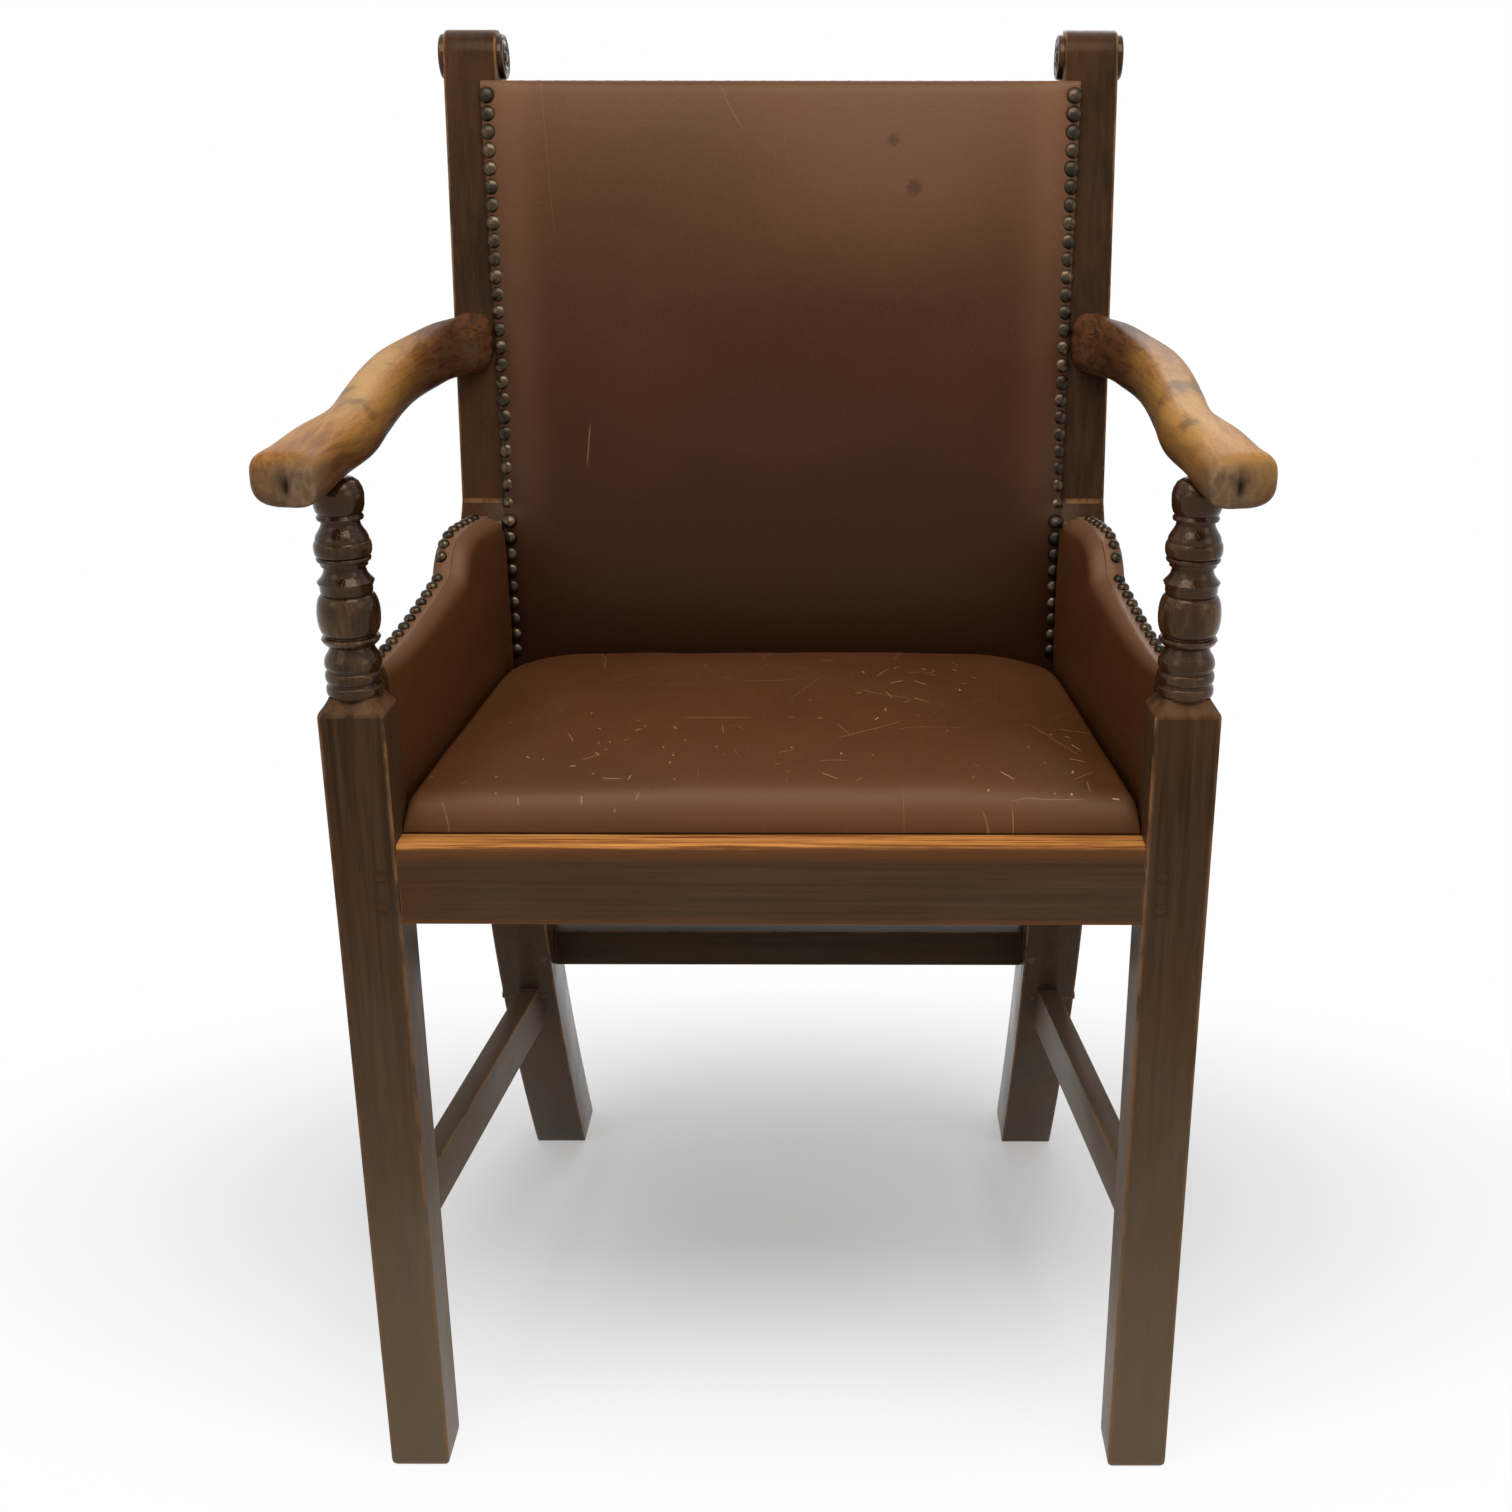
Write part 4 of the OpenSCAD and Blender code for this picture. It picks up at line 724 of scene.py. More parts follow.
def arm_box(y):
    """The arm's section at y: inner and outer x, underside and top"""
    t = (ARM_ROOT_FACE - y) / ARM_RUN
    mid, half = curve(ARM_MID, t), curve(ARM_WIDTH, t) / 2
    past = LOBE_R - (y + ARM_OVER)
    x1 = mid + half - (LOBE_R - math.sqrt(max(0, LOBE_R ** 2 - past ** 2)) if past > 0 else 0)
    z0 = ARM_SEAT + (ARM_ROOT_Z - ARM_H - ARM_SEAT) * (y - LEG_Y) / (ARM_ROOT_FACE - LEG_Y)
    return mid - half, x1, z0, ARM_ROOT_Z - ARM_FALL * t


def arm_loop(y, inset=0.0, scale=1.0, count=56):
    """The arm's section at y as a ring, squarer near the front end"""
    x0, x1, z0, z1 = arm_box(y)
    power = 2.8 + 0.3 * max(0, 1 - (y + ARM_OVER) / 0.05)
    inset_x, inset_z = min(inset, 0.9 * (x1 - x0) / 2), min(inset, 0.9 * (z1 - z0) / 2)
    # The nose is rounded most above and outside
    x0, x1, z0, z1 = x0 + 0.2 * inset_x, x1 - inset_x, z0 + 0.35 * inset_z, z1 - inset_z
    points = []
    for i in range(count):
        u, v = (scale * c for c in squarish(i, count, power))
        points.append(((x0 + x1) / 2 + u * (x1 - x0) / 2, y, (z0 + z1) / 2 + v * (z1 - z0) / 2))
    return points


def arm(s, word):
    """A bowed arm with a rounded nose and the eye in it, whose points say how rubbed they are, where the
    painted highlight of its top lies and where the eye's painted shade lies
    """
    bm = bmesh.new()
    steps, nose, bends, groove_w, groove_d = 76, 0.0105, 9, 0.0026, 0.0055
    back, front = face_y(ARM_ROOT_Z) + 0.001, -ARM_OVER
    ys = []
    # The loops lie closer together towards both ends
    for t in (i / steps for i in range(steps + 1)):
        bunched = 0.09 * math.sin(2 * math.pi * (t - 0.5)) * (1 if t > 0.5 else 0.5)
        ys.append(back - (back - front) * (t + bunched))
    rings = [arm_loop(y) for y in ys if y > front + nose]
    # The nose is rounded, and closed by shrinking loops so that the eye can be pressed into it
    for a in (math.pi / 2 * k / bends for k in range(1, bends + 1)):
        rings.append(arm_loop(front + nose * (1 - math.sin(a)), nose * (1 - math.cos(a))))
    rings += [arm_loop(front, nose, scale) for scale in (0.93, 0.84, 0.74, 0.62, 0.5, 0.38, 0.26, 0.14, 0.05)]
    bare, end, hollow, crown = (bm.verts.layers.float.new(key) for key in ("bare", "end", "hollow", "crown"))
    rows = loft(bm, rings)
    for v in (v for row in rows for v in row):
        x, y, z = v.co
        x0, x1, z0, z1 = arm_box(max(y, front))
        # Along the arm, up and outwards in its section, each from 0 to 1
        t = (ARM_ROOT_FACE - y) / ARM_RUN
        up = (z - z0) / (z1 - z0)
        out = (x - x0) / max(x1 - x0, 1e-6)
        # The crown is the top of the section, rubbed and given a painted highlight
        v[crown] = (max(0, 1 - ((out - 0.55) / 0.4) ** 2) * unit((up - 0.8) / 0.2)
                    * curve([(0, 0), (0.2, 0.3), (0.4, 1), (0.8, 1), (0.95, 0.5), (1, 0.2)], t))
        v[bare] = (curve([(0, -0.35), (0.12, 0.05), (0.3, 0.75), (0.6, 1), (1, 0.8)], t)
                   * curve([(0, 0.0), (0.3, 0.35), (0.7, 0.85), (1, 1.1)], up) + 0.25 * (out - 0.5))
        facing = unit((front + nose - y) / nose) ** 1.5
        # The golden top goes over to bare grey wood in front of the inner edge
        grey = max(0, 1 - (y - front) / 0.028) * max(0, 1 - max(0, out) / 0.6)
        v[end] = max(facing * (1.0 if x < EYE_X else 0.88) * unit((1.04 - up) / 0.3), 0.8 * grey)
        groove = math.exp(-((x - EYE_X) / groove_w) ** 2)
        middle = math.exp(-((up - 0.42) / 0.22) ** 2)
        near = max(0, 1 - (y - front) / (1.3 * nose))
        # The lobe outside the eye stands a little back
        v.co.y += near * (groove * (0.25 + 0.75 * middle) * groove_d + 0.0016 * unit((x - EYE_X) / 0.004))
        # The groove gets painted shade
        v[hollow] = min(1, groove * (0.15 + middle) * near)
    # The rear end is cut to the leaning post
    for v in rows[0]:
        v.co.y = face_y(v.co.z) + 0.0005
    stand_for(finished("arm_" + word + "_wood", bm, "arm", s, 50), "worn_oak", "arm_" + word)


# --- Leather ---

def settled(piece, pressure, cap, held):
    """Fills the form by cloth simulation. Points with held(place) 1 are fixed, and none moves over cap."""
    frames, quality = 20, 6
    scene = bpy.context.scene
    mesh = piece.data
    rest = [v.co.copy() for v in mesh.vertices]
    group = piece.vertex_groups.new(name="held")
    for i, place in enumerate(rest):
        group.add([i], held(place), "REPLACE")
    cloth = piece.modifiers.new("cloth", "CLOTH")
    cloth.settings.use_pressure = True
    cloth.settings.uniform_pressure_force = pressure
    cloth.settings.effector_weights.gravity = 0
    cloth.settings.vertex_group_mass = "held"
    cloth.settings.quality = quality
    for number in range(1, frames + 1):
        scene.frame_set(number)
    graph = bpy.context.evaluated_depsgraph_get()
    result = [v.co.copy() for v in piece.evaluated_get(graph).data.vertices]
    piece.modifiers.clear()
    piece.vertex_groups.clear()
    for v, start, end in zip(mesh.vertices, rest, result):
        move = end - start
        if move.length > cap:
            move *= cap / move.length
        v.co = start + move
    scene.frame_set(1)


def reshaped(piece, change):
    """Moves each point of the piece by change(place), and then makes the form finer"""
    for v in piece.data.vertices:
        v.co = change(v.co.copy())
    mod = piece.modifiers.new("fine", "SUBSURF")
    mod.levels = 1
    mod.render_levels = 1


def eased(t, power=1.6):
    """From -1 to 1, with the steps closer together at both ends"""
    return math.copysign(1 - (1 - abs(t)) ** power, t)


def roll(d, r):
    """How far a rounded edge of radius r has risen at a distance d from it"""
    return math.sqrt(max(0, 1 - (1 - d / r) ** 2)) if d < r else 1


def edge_fade(t):
    return max(0, 1 - abs(t) ** 3.2) ** 0.62


def grid_form(name, nu, nv, front, rear, material, s=1):
    """A closed form between a front and a rear grid of points; u and v run from -1 to 1"""
    bm = bmesh.new()

    def sheet_of(place):
        return [[bm.verts.new(place(2 * i / nu - 1, 2 * j / nv - 1)) for i in range(nu + 1)]
                for j in range(nv + 1)]

    close_skins(bm, sheet_of(front), sheet_of(rear))
    return finished(name, bm, material, s)


SEAT_Y0 = 0.0204
SEAT_Y1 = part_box("seat_cushion")[1].y - FRONT_Y


def cushion_x(y):
    """Half the cushion's width, between the legs and the pads"""
    return min(LEG_IN - 0.0008, pad_x(y) - 0.0004)


def seat():
    """A crowned form whose front rolls down to the rail, in its own line between legs and pads"""
    depth = SEAT_Y1 - SEAT_Y0
    low, skirt = CUSHION_Z + 0.0004, RAIL_TOP + 0.0007
    front_r, rear_r, side_r, overlap = 0.017, 0.014, 0.009, 0.007

    def place(u, v):
        u, v = eased(u), eased(v)
        y = SEAT_Y0 + depth * (v + 1) / 2
        return u, v, u * cushion_x(y), y

    def top(u, v):
        u, v, x, y = place(u, v)
        side = (1 - abs(u)) * cushion_x(y)
        lift = roll(y - SEAT_Y0, front_r) * roll(SEAT_Y1 - y, rear_r) * (0.35 + 0.65 * roll(side, side_r))
        # The rim rises towards the back, and sinks at its rear corners
        rim = RAIL_TOP + 0.020 + 0.027 * (v + 1) / 2
        crown = SEAT_TOP - RAIL_TOP - 0.0355
        rim -= 0.016 * (max(0, abs(u) - 0.72) / 0.28) ** 2 * (max(0, v - 0.5) / 0.5) ** 2
        return x, y, skirt + (rim - skirt) * lift + crown * (1 - abs(u) ** 2.8) * (1 - abs(v) ** 2.4)

    def base(u, v):
        u, v, x, y = place(u, v)
        edge = min((1 - abs(u)) * cushion_x(y), y - SEAT_Y0)
        return x, y, low if edge > overlap else skirt

    piece = grid_form("seat_leather_cushion", 120, 72, top, base, "seat")

    def worn_and_sheen(p):
        """Paler where the front rolls down to the rail: a painted sheen"""
        far = (p.y - FRONT_Y - SEAT_Y0 - 0.005) / 0.011
        return 0.3 * math.exp(-far * far)

    tint(piece, worn_and_sheen)
    settled(piece, 4, 0.003, lambda p: 1.0 if p.z < low + 0.002 else 0.0)

    def change(p):
        y = p.y - FRONT_Y
        deep = unit((p.z - low) / 0.012)
        p.z += 0.0014 * deep * noise.noise(Vector((p.x * 8, y * 8, 1.5)))
        p.z += 0.0006 * deep * noise.noise(Vector((p.x * 28, y * 22, 4.5)))
        limit = cushion_x(min(max(y, SEAT_Y0), SEAT_Y1))
        p.x = max(-limit, min(limit, p.x))
        p.y = min(max(p.y, FRONT_Y + SEAT_Y0), FRONT_Y + SEAT_Y1)
        return p

    reshaped(piece, change)
    stand_for(piece, "leather", "seat_cushion")


def nail_rows():
    """Heights of the nails down the back's sides"""
    low = CUSHION_Z + 0.038
    count = int((BACK_TOP - 0.008 - low) / NAIL_PITCH)
    return [BACK_TOP - 0.008 - i * NAIL_PITCH for i in range(count + 1)]


def nail_x(z):
    """The middle line of the nails down a post"""
    return inner_x(z) + POST_LAP - 0.003


def smooth_face(z):
    """The back's line, with the step eased by the padding"""
    return sum(face_y(max(BACK_LOW, z + 0.008 * d)) for d in range(-8, 9)) / 17


def back():
    """The padded back, held to the posts at its sides and rolled over the top rail"""
    edge, crown = 2 * LEATHER_T, 0.0125
    height, proud, overlap = BACK_TOP - BACK_LOW, 0.0018, 0.0015

    def z_at(v):
        return BACK_LOW + height * (eased(v, 1.4) + 1) / 2

    def half_at(z):
        return inner_x(z) + POST_LAP + overlap

    def over_at(z):
        return max(0, 1 - (BACK_TOP - z) / 0.007)

    def front(u, v):
        z, u, v = z_at(v), eased(u, 1.5), eased(v, 1.4)
        lift = edge_fade(u) * edge_fade(v)
        middle = min(1, lift * 2.2)
        y = face_y(z) * (1 - middle) + smooth_face(z) * middle
        # Over the last few millimetres the leather rolls back onto the top rail
        over = over_at(z)
        y += 0.0026 * (1 - math.sqrt(1 - over * over)) if over else 0
        return u * half_at(z), y - edge - crown * lift, z + proud * over

    def rear(u, v):
        z = z_at(v)
        return eased(u, 1.5) * half_at(z), face_y(z) - 0.0002, z + proud * over_at(z)

    piece = grid_form("back_leather_pad", 96, 104, front, rear, "back")

    def worn_and_sheen(p):
        """Paler near the top, at the top right and along the nailed edges: painted sheen, with some fading
        near the top
        """
        top = max(0, 1 - (BACK_TOP - p.z) / 0.16) ** 1.6
        side = math.exp(-((inner_x(p.z) + POST_LAP - 0.018 - abs(p.x)) / 0.016) ** 2)
        side *= unit((p.z - 0.6) / 0.12)
        cloudy = 1 + 0.5 * noise.noise(Vector((p.x * 7, 1.7, p.z * 7)))
        right = max(0, 1 - math.hypot((p.x - 0.1) / 0.13, (p.z - 0.86) / 0.09)) ** 1.2
        return min(1, 0.3 * top * cloudy + 0.2 * side * cloudy + 0.25 * right)

    tint(piece, worn_and_sheen)
    # Painted shade: darker towards the seat
    tint(piece, lambda p: 0.88 * unit((0.92 - p.z) / 0.4), "shade")

    def held(p):
        near_side = abs(p.x) > inner_x(p.z) + 0.002
        behind = p.y - FRONT_Y > face_y(p.z) - 0.002
        return 1.0 if near_side or behind or p.z < BACK_LOW + 0.006 or p.z > BACK_TOP - 0.008 else 0.0

    settled(piece, 3, 0.003, held)
    rows = nail_rows()

    def change(p):
        y, z, x = p.y - FRONT_Y, p.z, abs(p.x)
        face = face_y(z)
        if y < face - 0.001:
            # Each nail pulls the leather down round it
            nearest = min(rows, key=lambda row: abs(row - z))
            gap = math.hypot(x - nail_x(z), z - nearest)
            y += 0.0015 * math.exp(-(gap / 0.0056) ** 2)
            y += 0.0007 * noise.noise(Vector((p.x * 8, 3.1, z * 8)))
            y = min(y, face - 0.5 * LEATHER_T)
        p.y = y + FRONT_Y
        return p

    reshaped(piece, change)
    stand_for(piece, "leather", "back_pad")


def side_pad(s, word):
    """The pad inside the panel; its leather rolls over the panel's top"""
    y0, y1 = LEG_D + 0.0004, POST_Y - 2 * LEATHER_T - NAIL_H - 0.0004
    low = RAIL_TOP + 0.0006

    def place(u, v):
        u, v = eased(u), eased(v)
        y = (y0 + y1) / 2 + u * (y1 - y0) / 2
        top = panel_z(y) + LEATHER_T
        return u, v, y, low + (top - low) * (v + 1) / 2, top

    def front(u, v):
        u, v, y, z, top = place(u, v)
        edge = panel_in(y)
        deep = edge - pad_x(y) - 0.005
        bottom = min(1, (z - low) / 0.02)
        swell = 0.005 * edge_fade(u) * edge_fade(v)
        return edge - max(0.0006, deep * roll(top - z, 0.011) * (0.45 + 0.55 * bottom ** 0.5)) - swell, y, z

    def rear(u, v):
        _, _, y, z, _ = place(u, v)
        return panel_in(y) - 0.0002, y, z

    piece = grid_form("side_leather_" + word, 72, 40, front, rear, "leather", s)
    tint(piece, lambda p: 0.6 * max(0, 1 - (panel_z(p.y - FRONT_Y) + LEATHER_T - p.z) / 0.008))

    def held(p):
        y = p.y - FRONT_Y
        return 1.0 if p.z < low + 0.003 or p.z > panel_z(y) - 0.003 or abs(p.x) > panel_in(y) - 0.001 else 0.0

    settled(piece, 2.5, 0.002, held)

    def change(p):
        y = p.y - FRONT_Y
        limit = panel_in(min(max(y, LEG_D), POST_Y)) - 0.0002
        wave = 0.0008 * noise.noise(Vector((3.0 * s, y * 14, p.z * 14)))
        p.x = math.copysign(min(abs(p.x) + wave * (abs(p.x) < limit - 0.002), limit), p.x)
        p.y = min(max(p.y, FRONT_Y + y0), FRONT_Y + y1)
        return p

    reshaped(piece, change)
    stand_for(piece, "leather", "side_pad_" + word)


def side_cover(s, word):
    """Leather that comes over the panel's top edge and down its outside"""
    steps, bends, r = 70, 10, 0.004
    bm = bmesh.new()
    wear_and_sheen = bm.verts.layers.float.new("wear_and_sheen")
    skins = []
    for thick in (LEATHER_T, 0.00005):
        rows = []
        for i in range(steps + 1):
            y = LEG_D + 0.0003 + (SIDE_RUN - 0.0006) * i / steps
            inner, outer, top = panel_in(y), rail_x(y) - PANEL_OFF + thick, panel_z(y) + thick
            points = [(inner + (outer - r - inner) * k / 4, top) for k in range(5)]
            points += [(outer - r + r * math.sin(a), top - r + r * math.cos(a))
                       for a in (math.pi / 2 * k / bends for k in range(1, bends + 1))]
            points += [(outer, top - r - (top - r - RAIL_TOP - 0.0003) * k / 8) for k in range(1, 9)]
            row = []
            for k, (x, z) in enumerate(points):
                v = bm.verts.new((x, y, z))
                v[wear_and_sheen] = 0.95 if k < 3 else 0.6 if k < 10 else 0.0
                row.append(v)
            rows.append(row)
        skins.append(rows)
    close_skins(bm, *skins)
    piece = finished("side_cover_" + word, bm, "leather", s, 60)
    width = PANEL_T + sum(panel_z(LEG_D + SIDE_RUN * i / 40) for i in range(41)) / 41 - RAIL_TOP
    stand_for(piece, "leather", "outside_cover_" + word)


def back_cover():
    """The outside cover, from the top rail's upper edge down the back"""
    bm = bmesh.new()
    columns, low, top = 40, 0.504, BACK_TOP
    zs = [low + (top - LEATHER_T - low) * k / 48 for k in range(49)]

    def line(thick):
        outer = [(face_y(z) + BACK_RAIL_T + thick, z) for z in zs]
        y_end, r = face_y(top) + BACK_RAIL_T + thick, 0.003
        corner = [(y_end - r + r * math.cos(a), top - LEATHER_T + thick - r + r * math.sin(a))
                  for a in (math.pi / 2 * k / 5 for k in range(6))]
        over = [(face_y(top) + 0.0004 + (y_end - r - face_y(top)) * (1 - k / 4), top - LEATHER_T + thick)
                for k in range(1, 5)]
        return [p for p in outer if p[1] < top - LEATHER_T - r] + corner + over

    skins = []
    for thick in (LEATHER_T, 0.0001):
        rows = []
        for i in range(columns + 1):
            u = 2 * i / columns - 1
            row = []
            for y, z in line(thick):
                sag = 0.0035 * (1 - u * u) * max(0, math.sin(math.pi * (z - low) / (top - low)))
                row.append(bm.verts.new((u * (inner_x(z) - 0.001), y - sag * (y > face_y(z) + 0.02), z)))
            rows.append(row)
        skins.append(rows)
    close_skins(bm, *skins)
    piece = finished("back_cover", bm, "leather", 1, 60)
    stand_for(piece, "leather", "outside_back_cover")


def strap(name, line, across, node):
    """A woven band along points with their outward directions and widths"""
    thick, n = 0.0010, 8
    bm = bmesh.new()
    rings = []
    for point, out, width in line:
        low = [Vector(point) + Vector(across) * width * (i / n - 0.5) for i in range(n + 1)]
        rings.append([place + Vector(out) * thick for place in low] + low[::-1])
    loft(bm, rings)
    piece = finished(name, bm, "jute", 1, 60)
    steps = [((Vector(b[0]) - Vector(a[0])).length, (a[2] + b[2]) / 2) for a, b in zip(line, line[1:])]
    stand_for(piece, "jute", node)


def woven_supports():
    """Webbing and canvas of the loose seat, and the webbing behind the back pad"""
    web_w, web_lap, bar_w, up = 0.050, 0.015, 0.045, (0, 0, 1)
    rear = POST_Y + 0.0156

    def bar_x(y):
        """The loose frame's outside, which runs in towards the posts"""
        return LEG_IN - 0.0008 + (POST_IN - 0.003 - LEG_IN + 0.0008) * (y - SEAT_Y0) / (rear - SEAT_Y0)

    for i in range(4):
        x = (i - 1.5) * 1.5 * web_w
        y0, y1 = SEAT_Y0 + bar_w - 2 * web_lap, rear - bar_w + 2 * web_lap
        line = [((x, y0 + (y1 - y0) * k / 30, RAIL_TOP + 0.0001), up, web_w) for k in range(31)]
        strap(f"seat_band_{i + 1}", line, (1, 0, 0), "seat_webbing")
    for i in range(3):
        y = (SEAT_Y0 + rear) / 2 + (i - 1) * 1.4 * web_w
        x = bar_x(y) - web_lap
        line = [((x * (k / 20 - 1), y, RAIL_TOP + 0.0013), up, web_w) for k in range(41)]
        strap(f"seat_cross_band_{i + 1}", line, (0, 1, 0), "seat_webbing")
    y0, y1 = SEAT_Y0 + 0.008, SEAT_Y1 - 0.004
    line = [((0, y, RAIL_TOP + 0.0024 + 0.0001), (0, 0, 0.7), 2 * (bar_x(y) - 0.010))
            for y in (y0 + (y1 - y0) * k / 30 for k in range(31))]
    strap("seat_canvas_cloth", line, (1, 0, 0), "seat_canvas")
    low, top = 0.508, BACK_TOP - 0.0076
    for i in range(3):
        line = [(((i - 1) * 2 * web_w, face_y(z) + 0.0015, z), (0, -1, 0), web_w)
                for z in (low + (top - low) * k / 60 for k in range(61))]
        strap(f"back_band_{i + 1}", line, (1, 0, 0), "back_webbing")


# --- Nails ---

def nails(name, places, node, s=1, scale=1.0):
    """Domed heads; each place is a point on the leather and the direction that it faces"""
    profile = ((0.86, -0.12), (0.98, 0.02), (1.0, 0.16), (0.96, 0.38), (0.84, 0.62), (0.64, 0.83),
               (0.36, 0.96), (0.12, 1.0))
    askew = (-0.09, 0.09)
    rng = random.Random(name)
    bm = bmesh.new()
    for point, facing in places:
        turn = Vector(facing).normalized().to_track_quat("Z", "Y").to_matrix()
        lean = Matrix.Rotation(rng.uniform(*askew), 3, "X") @ Matrix.Rotation(rng.uniform(*askew), 3, "Y")
        size = scale * rng.uniform(0.95, 1.02)
        loft(bm, [[Vector(point) + turn @ (lean @ Vector((u * size, v * size, h * NAIL_H)))
                   for u, v, _ in circle(0, 0, 0, r * NAIL_R, 18)] for r, h in profile])
    stand_for(finished(name, bm, "brass", s, 80), "antique_brass", node)


def all_nails():
    """The rows down the posts, on the panels' tops, on the top rail and on the outside cover"""
    def outwards(z, way):
        """Square to the back's line at this height, forwards with way 1 and backwards with -1"""
        tilt = LEAN
        if z < STEP_Z:
            tilt = math.atan(STEP_D / (STEP_Z - STEP_LOW)) if z > STEP_LOW else 0
        return 0, -way * math.cos(tilt), way * math.sin(tilt)

    edge = 2 * LEATHER_T
    for s, word in SIDES:
        rows = [((nail_x(z), face_y(z) - edge, z), outwards(z, 1)) for z in nail_rows()]
        nails("back_nail_heads_" + word, rows, "back_nails_" + word, s)
        rows = []
        y = LEG_D + 0.006
        while y < POST_Y - 0.006:
            slope = (panel_z(y + 0.001) - panel_z(y - 0.001)) / 0.002
            point = (rail_x(y) - PANEL_OFF - 0.0035, y, panel_z(y) + LEATHER_T - 0.0003)
            rows.append((point, (0.15, -slope, 1)))
            y += NAIL_PITCH / math.hypot(1, slope)
        nails("side_nail_heads_" + word, rows, "side_nails_" + word, s, 0.72)
    count = 2 * int((inner_x(BACK_TOP) - 2 * NAIL_R) / NAIL_PITCH)
    rows = [(((i - count / 2) * NAIL_PITCH, face_y(BACK_TOP) + BACK_RAIL_T / 2, BACK_TOP - 0.0017), (0, 0, 1))
            for i in range(count + 1)]
    nails("top_nail_heads", rows, "back_nails_top")
    rows = [((2 * i * NAIL_PITCH, face_y(z) + BACK_RAIL_T + LEATHER_T, z), outwards(z, -1))
            for z in (0.514, BACK_TOP - 0.014) for i in range(-7, 8)]
    nails("outside_nail_heads", rows, "outside_back_nails")


# --- Studio ---

def camera():
    """The photograph's camera"""
    place = Vector((0.0432, -1.2552, 0.9076))
    yaw, pitch, roll = -0.00245, 0.34275, -0.00076
    focal_px, frame_px, centre_px, sensor = 1800, 1512, 836, 36
    ahead = Vector((math.sin(yaw) * math.cos(pitch), math.cos(yaw) * math.cos(pitch), -math.sin(pitch)))
    right = Vector((math.cos(yaw), -math.sin(yaw), 0))
    down = ahead.cross(right)
    across = math.cos(roll) * right + math.sin(roll) * down
    below = math.cos(roll) * down - math.sin(roll) * right
    data = bpy.data.cameras.new("camera")
    data.sensor_width = sensor
    data.lens = focal_px / frame_px * sensor
    data.shift_x = (frame_px / 2 - centre_px) / frame_px
    made = bpy.data.objects.new("camera", data)
    turn = Matrix((across, -below, -ahead)).transposed()
    made.matrix_world = Matrix.Translation(place) @ turn.to_4x4()
    bpy.context.scene.collection.objects.link(made)
    bpy.context.scene.camera = made


def lamp(name, place, target, size, power):
    data = bpy.data.lights.new(name, "AREA")
    data.shape = "RECTANGLE"
    data.size, data.size_y = size
    data.energy = power
    made = bpy.data.objects.new(name, data)
    made.location = place
    made.visible_camera = False
    made.rotation_euler = (Vector(target) - Vector(place)).to_track_quat("-Z", "Y").to_euler()
    bpy.context.scene.collection.objects.link(made)


def background_rays(tree):
    """1 for the rays that show the background: the camera's, and those through gloss and glass"""
    rays = put(tree, "LightPath").outputs
    seen = highest(tree, rays["Is Camera Ray"], rays["Is Glossy Ray"])
    return highest(tree, seen, rays["Is Transmission Ray"])


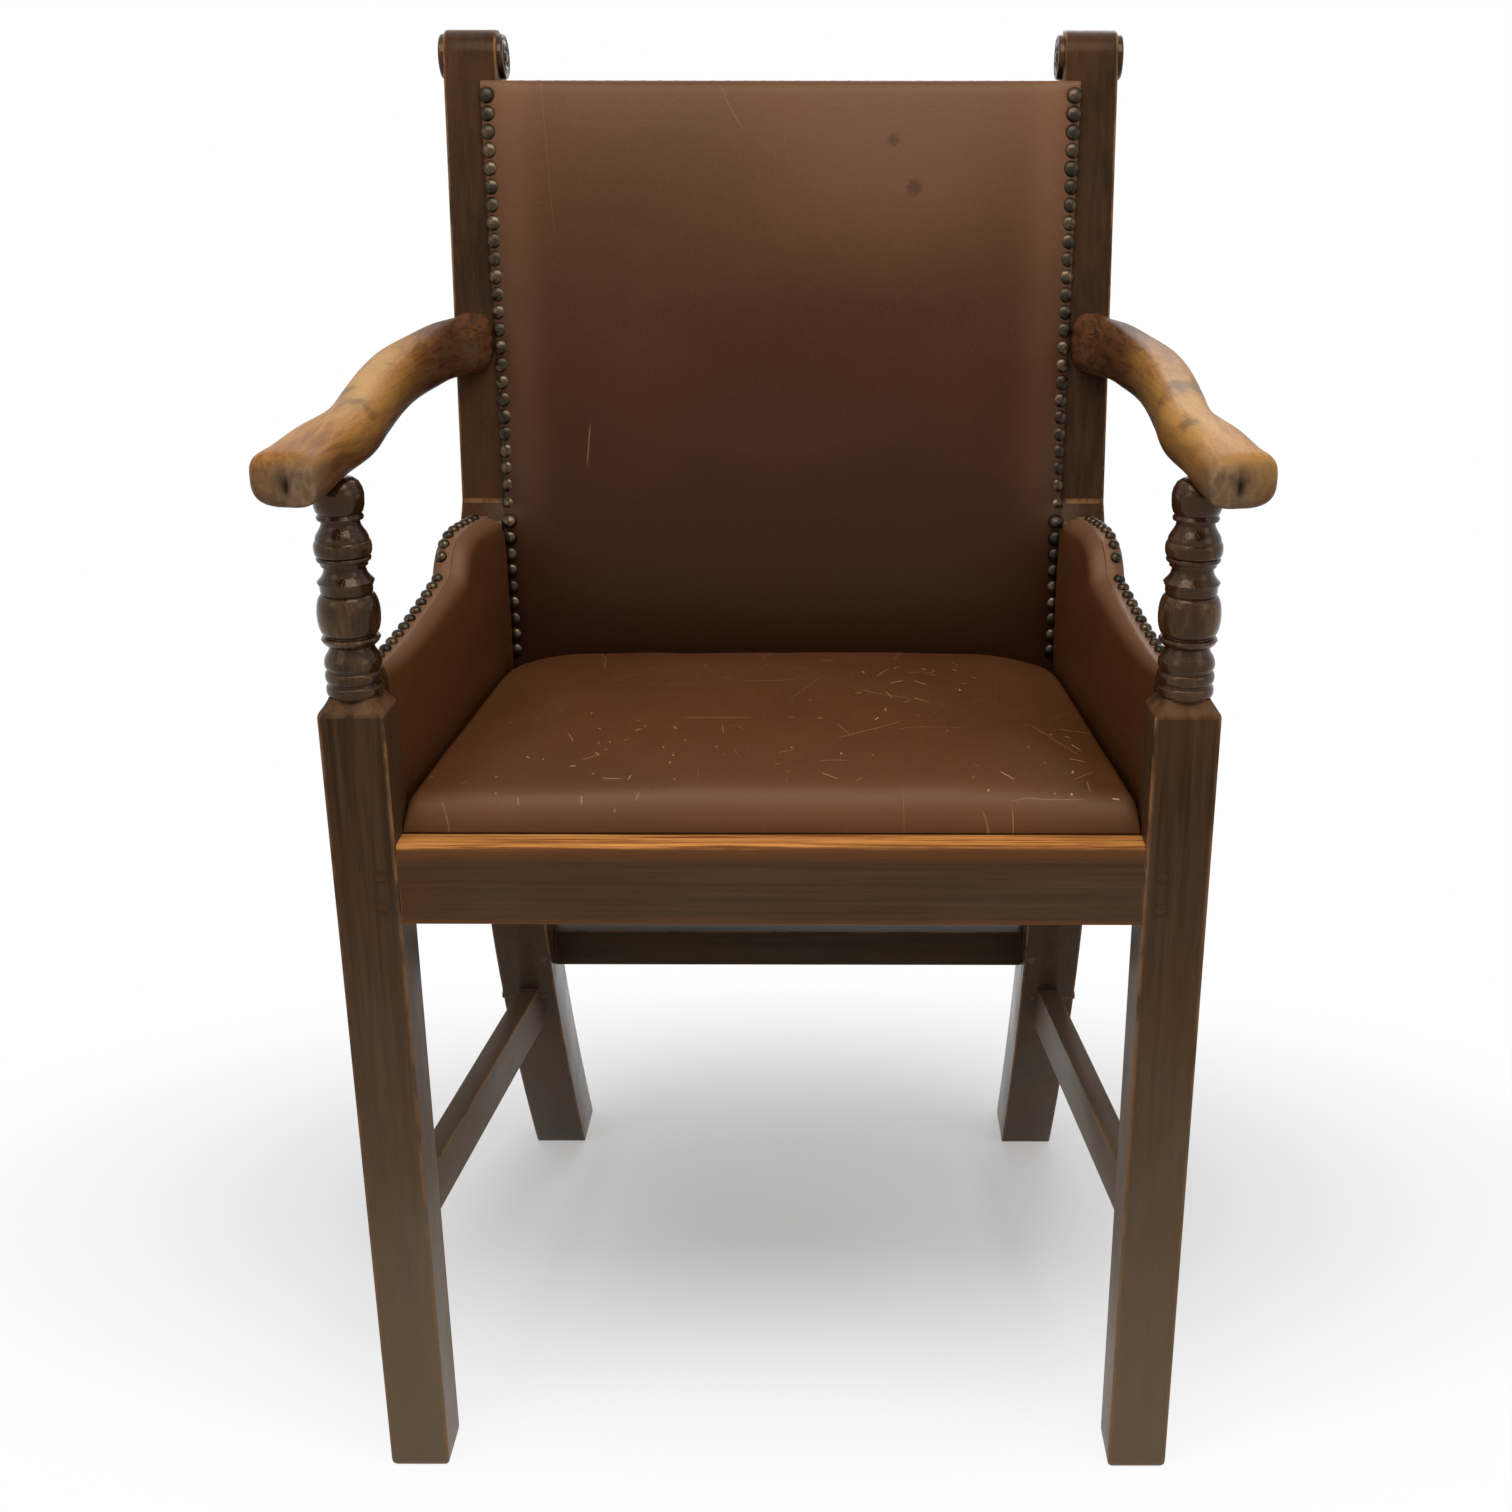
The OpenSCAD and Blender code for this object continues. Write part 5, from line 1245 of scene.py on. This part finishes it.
def studio():
    """A pale floor, a white background and four soft lamps"""
    floor_size, inner_r, outer_r = 6.0, 0.04, 0.46
    bm = bmesh.new()
    bmesh.ops.create_grid(bm, x_segments=24, y_segments=24, size=floor_size)
    mesh = bpy.data.meshes.new("floor")
    bm.to_mesh(mesh)
    bm.free()
    floor = bpy.data.objects.new("floor", mesh)
    bpy.context.scene.collection.objects.link(floor)
    made, tree, shader = new_material("pale_floor", Roughness=0.9, Specular_IOR_Level=0.1)
    shader.inputs["Base Color"].default_value = (0.98, 0.98, 0.98, 1)
    # Away from the chair the floor goes over to the plain white of the background
    place = stretched(tree, (0.5, 1, 0), shift=(0, -0.13, 0))
    far = put(tree, "VectorMath", {0: place}, operation="LENGTH").outputs["Value"]
    fade = remap(tree, far, inner_r, outer_r, 0.22, 1)
    white = put(tree, "Emission", {"Color": (1, 1, 1, 1), "Strength": 1.0}).outputs[0]
    share = times(tree, fade, background_rays(tree))
    mixed = put(tree, "MixShader", {0: share, 1: shader.outputs[0], 2: white}).outputs[0]
    tree.links.new(mixed, tree.nodes["Material Output"].inputs["Surface"])
    mesh.materials.append(made)

    world = bpy.data.worlds.new("studio")
    bpy.context.scene.world = world
    world.use_nodes = True
    tree = world.node_tree
    base = tree.nodes["Background"]
    base.inputs["Color"].default_value = (1, 1, 1, 1)
    base.inputs["Strength"].default_value = 0.26
    white = put(tree, "Background", {"Color": (1, 1, 1, 1), "Strength": 1.0}).outputs[0]
    mixed = put(tree, "MixShader", {0: background_rays(tree), 1: base.outputs[0], 2: white}).outputs[0]
    tree.links.new(mixed, tree.nodes["World Output"].inputs["Surface"])

    lamp("overhead", (0.0, -0.6, 1.68), (0, 0.05, 0.5), (1.2, 0.7), 14.5)
    lamp("key", (-1.5, -1.4, 1.5), (0, 0, 0.5), (1.0, 1.0), 5)
    lamp("fill", (1.7, -1.2, 1.4), (0, 0, 0.5), (1.0, 1.0), 5)
    lamp("behind", (0.3, 1.6, 1.9), (0, 0, 0.5), (1.2, 1.2), 8)


camera()
studio()
for s, word in SIDES:
    front_leg(s, word)
    rear_post(s, word)
    bosses(s, word)
    arm(s, word)
    side_rail(s, word)
    side_stretcher(s, word)
    side_pad(s, word)
    side_cover(s, word)
front_rail()
rear_rail()
rear_stretcher()
seat()
back()
back_cover()
woven_supports()
all_nails()

# The CAD nodes that stay get their materials
PLAIN = {"oak_x": ("back_top_rail", "back_bottom_rail", "frame_pegs", "seat_frame_front_bar",
                   "seat_frame_rear_bar", "corner_blocks"),
         "oak_y": ("side_board_left", "side_board_right", "seat_bearer_left", "seat_bearer_right",
                   "seat_frame_left_bar", "seat_frame_right_bar"),
         "steel": ("frame_screws",)}
for material, names in PLAIN.items():
    for name in names:
        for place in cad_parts[name].material_slots:
            place.link = "OBJECT"
            place.material = MATERIALS[material]
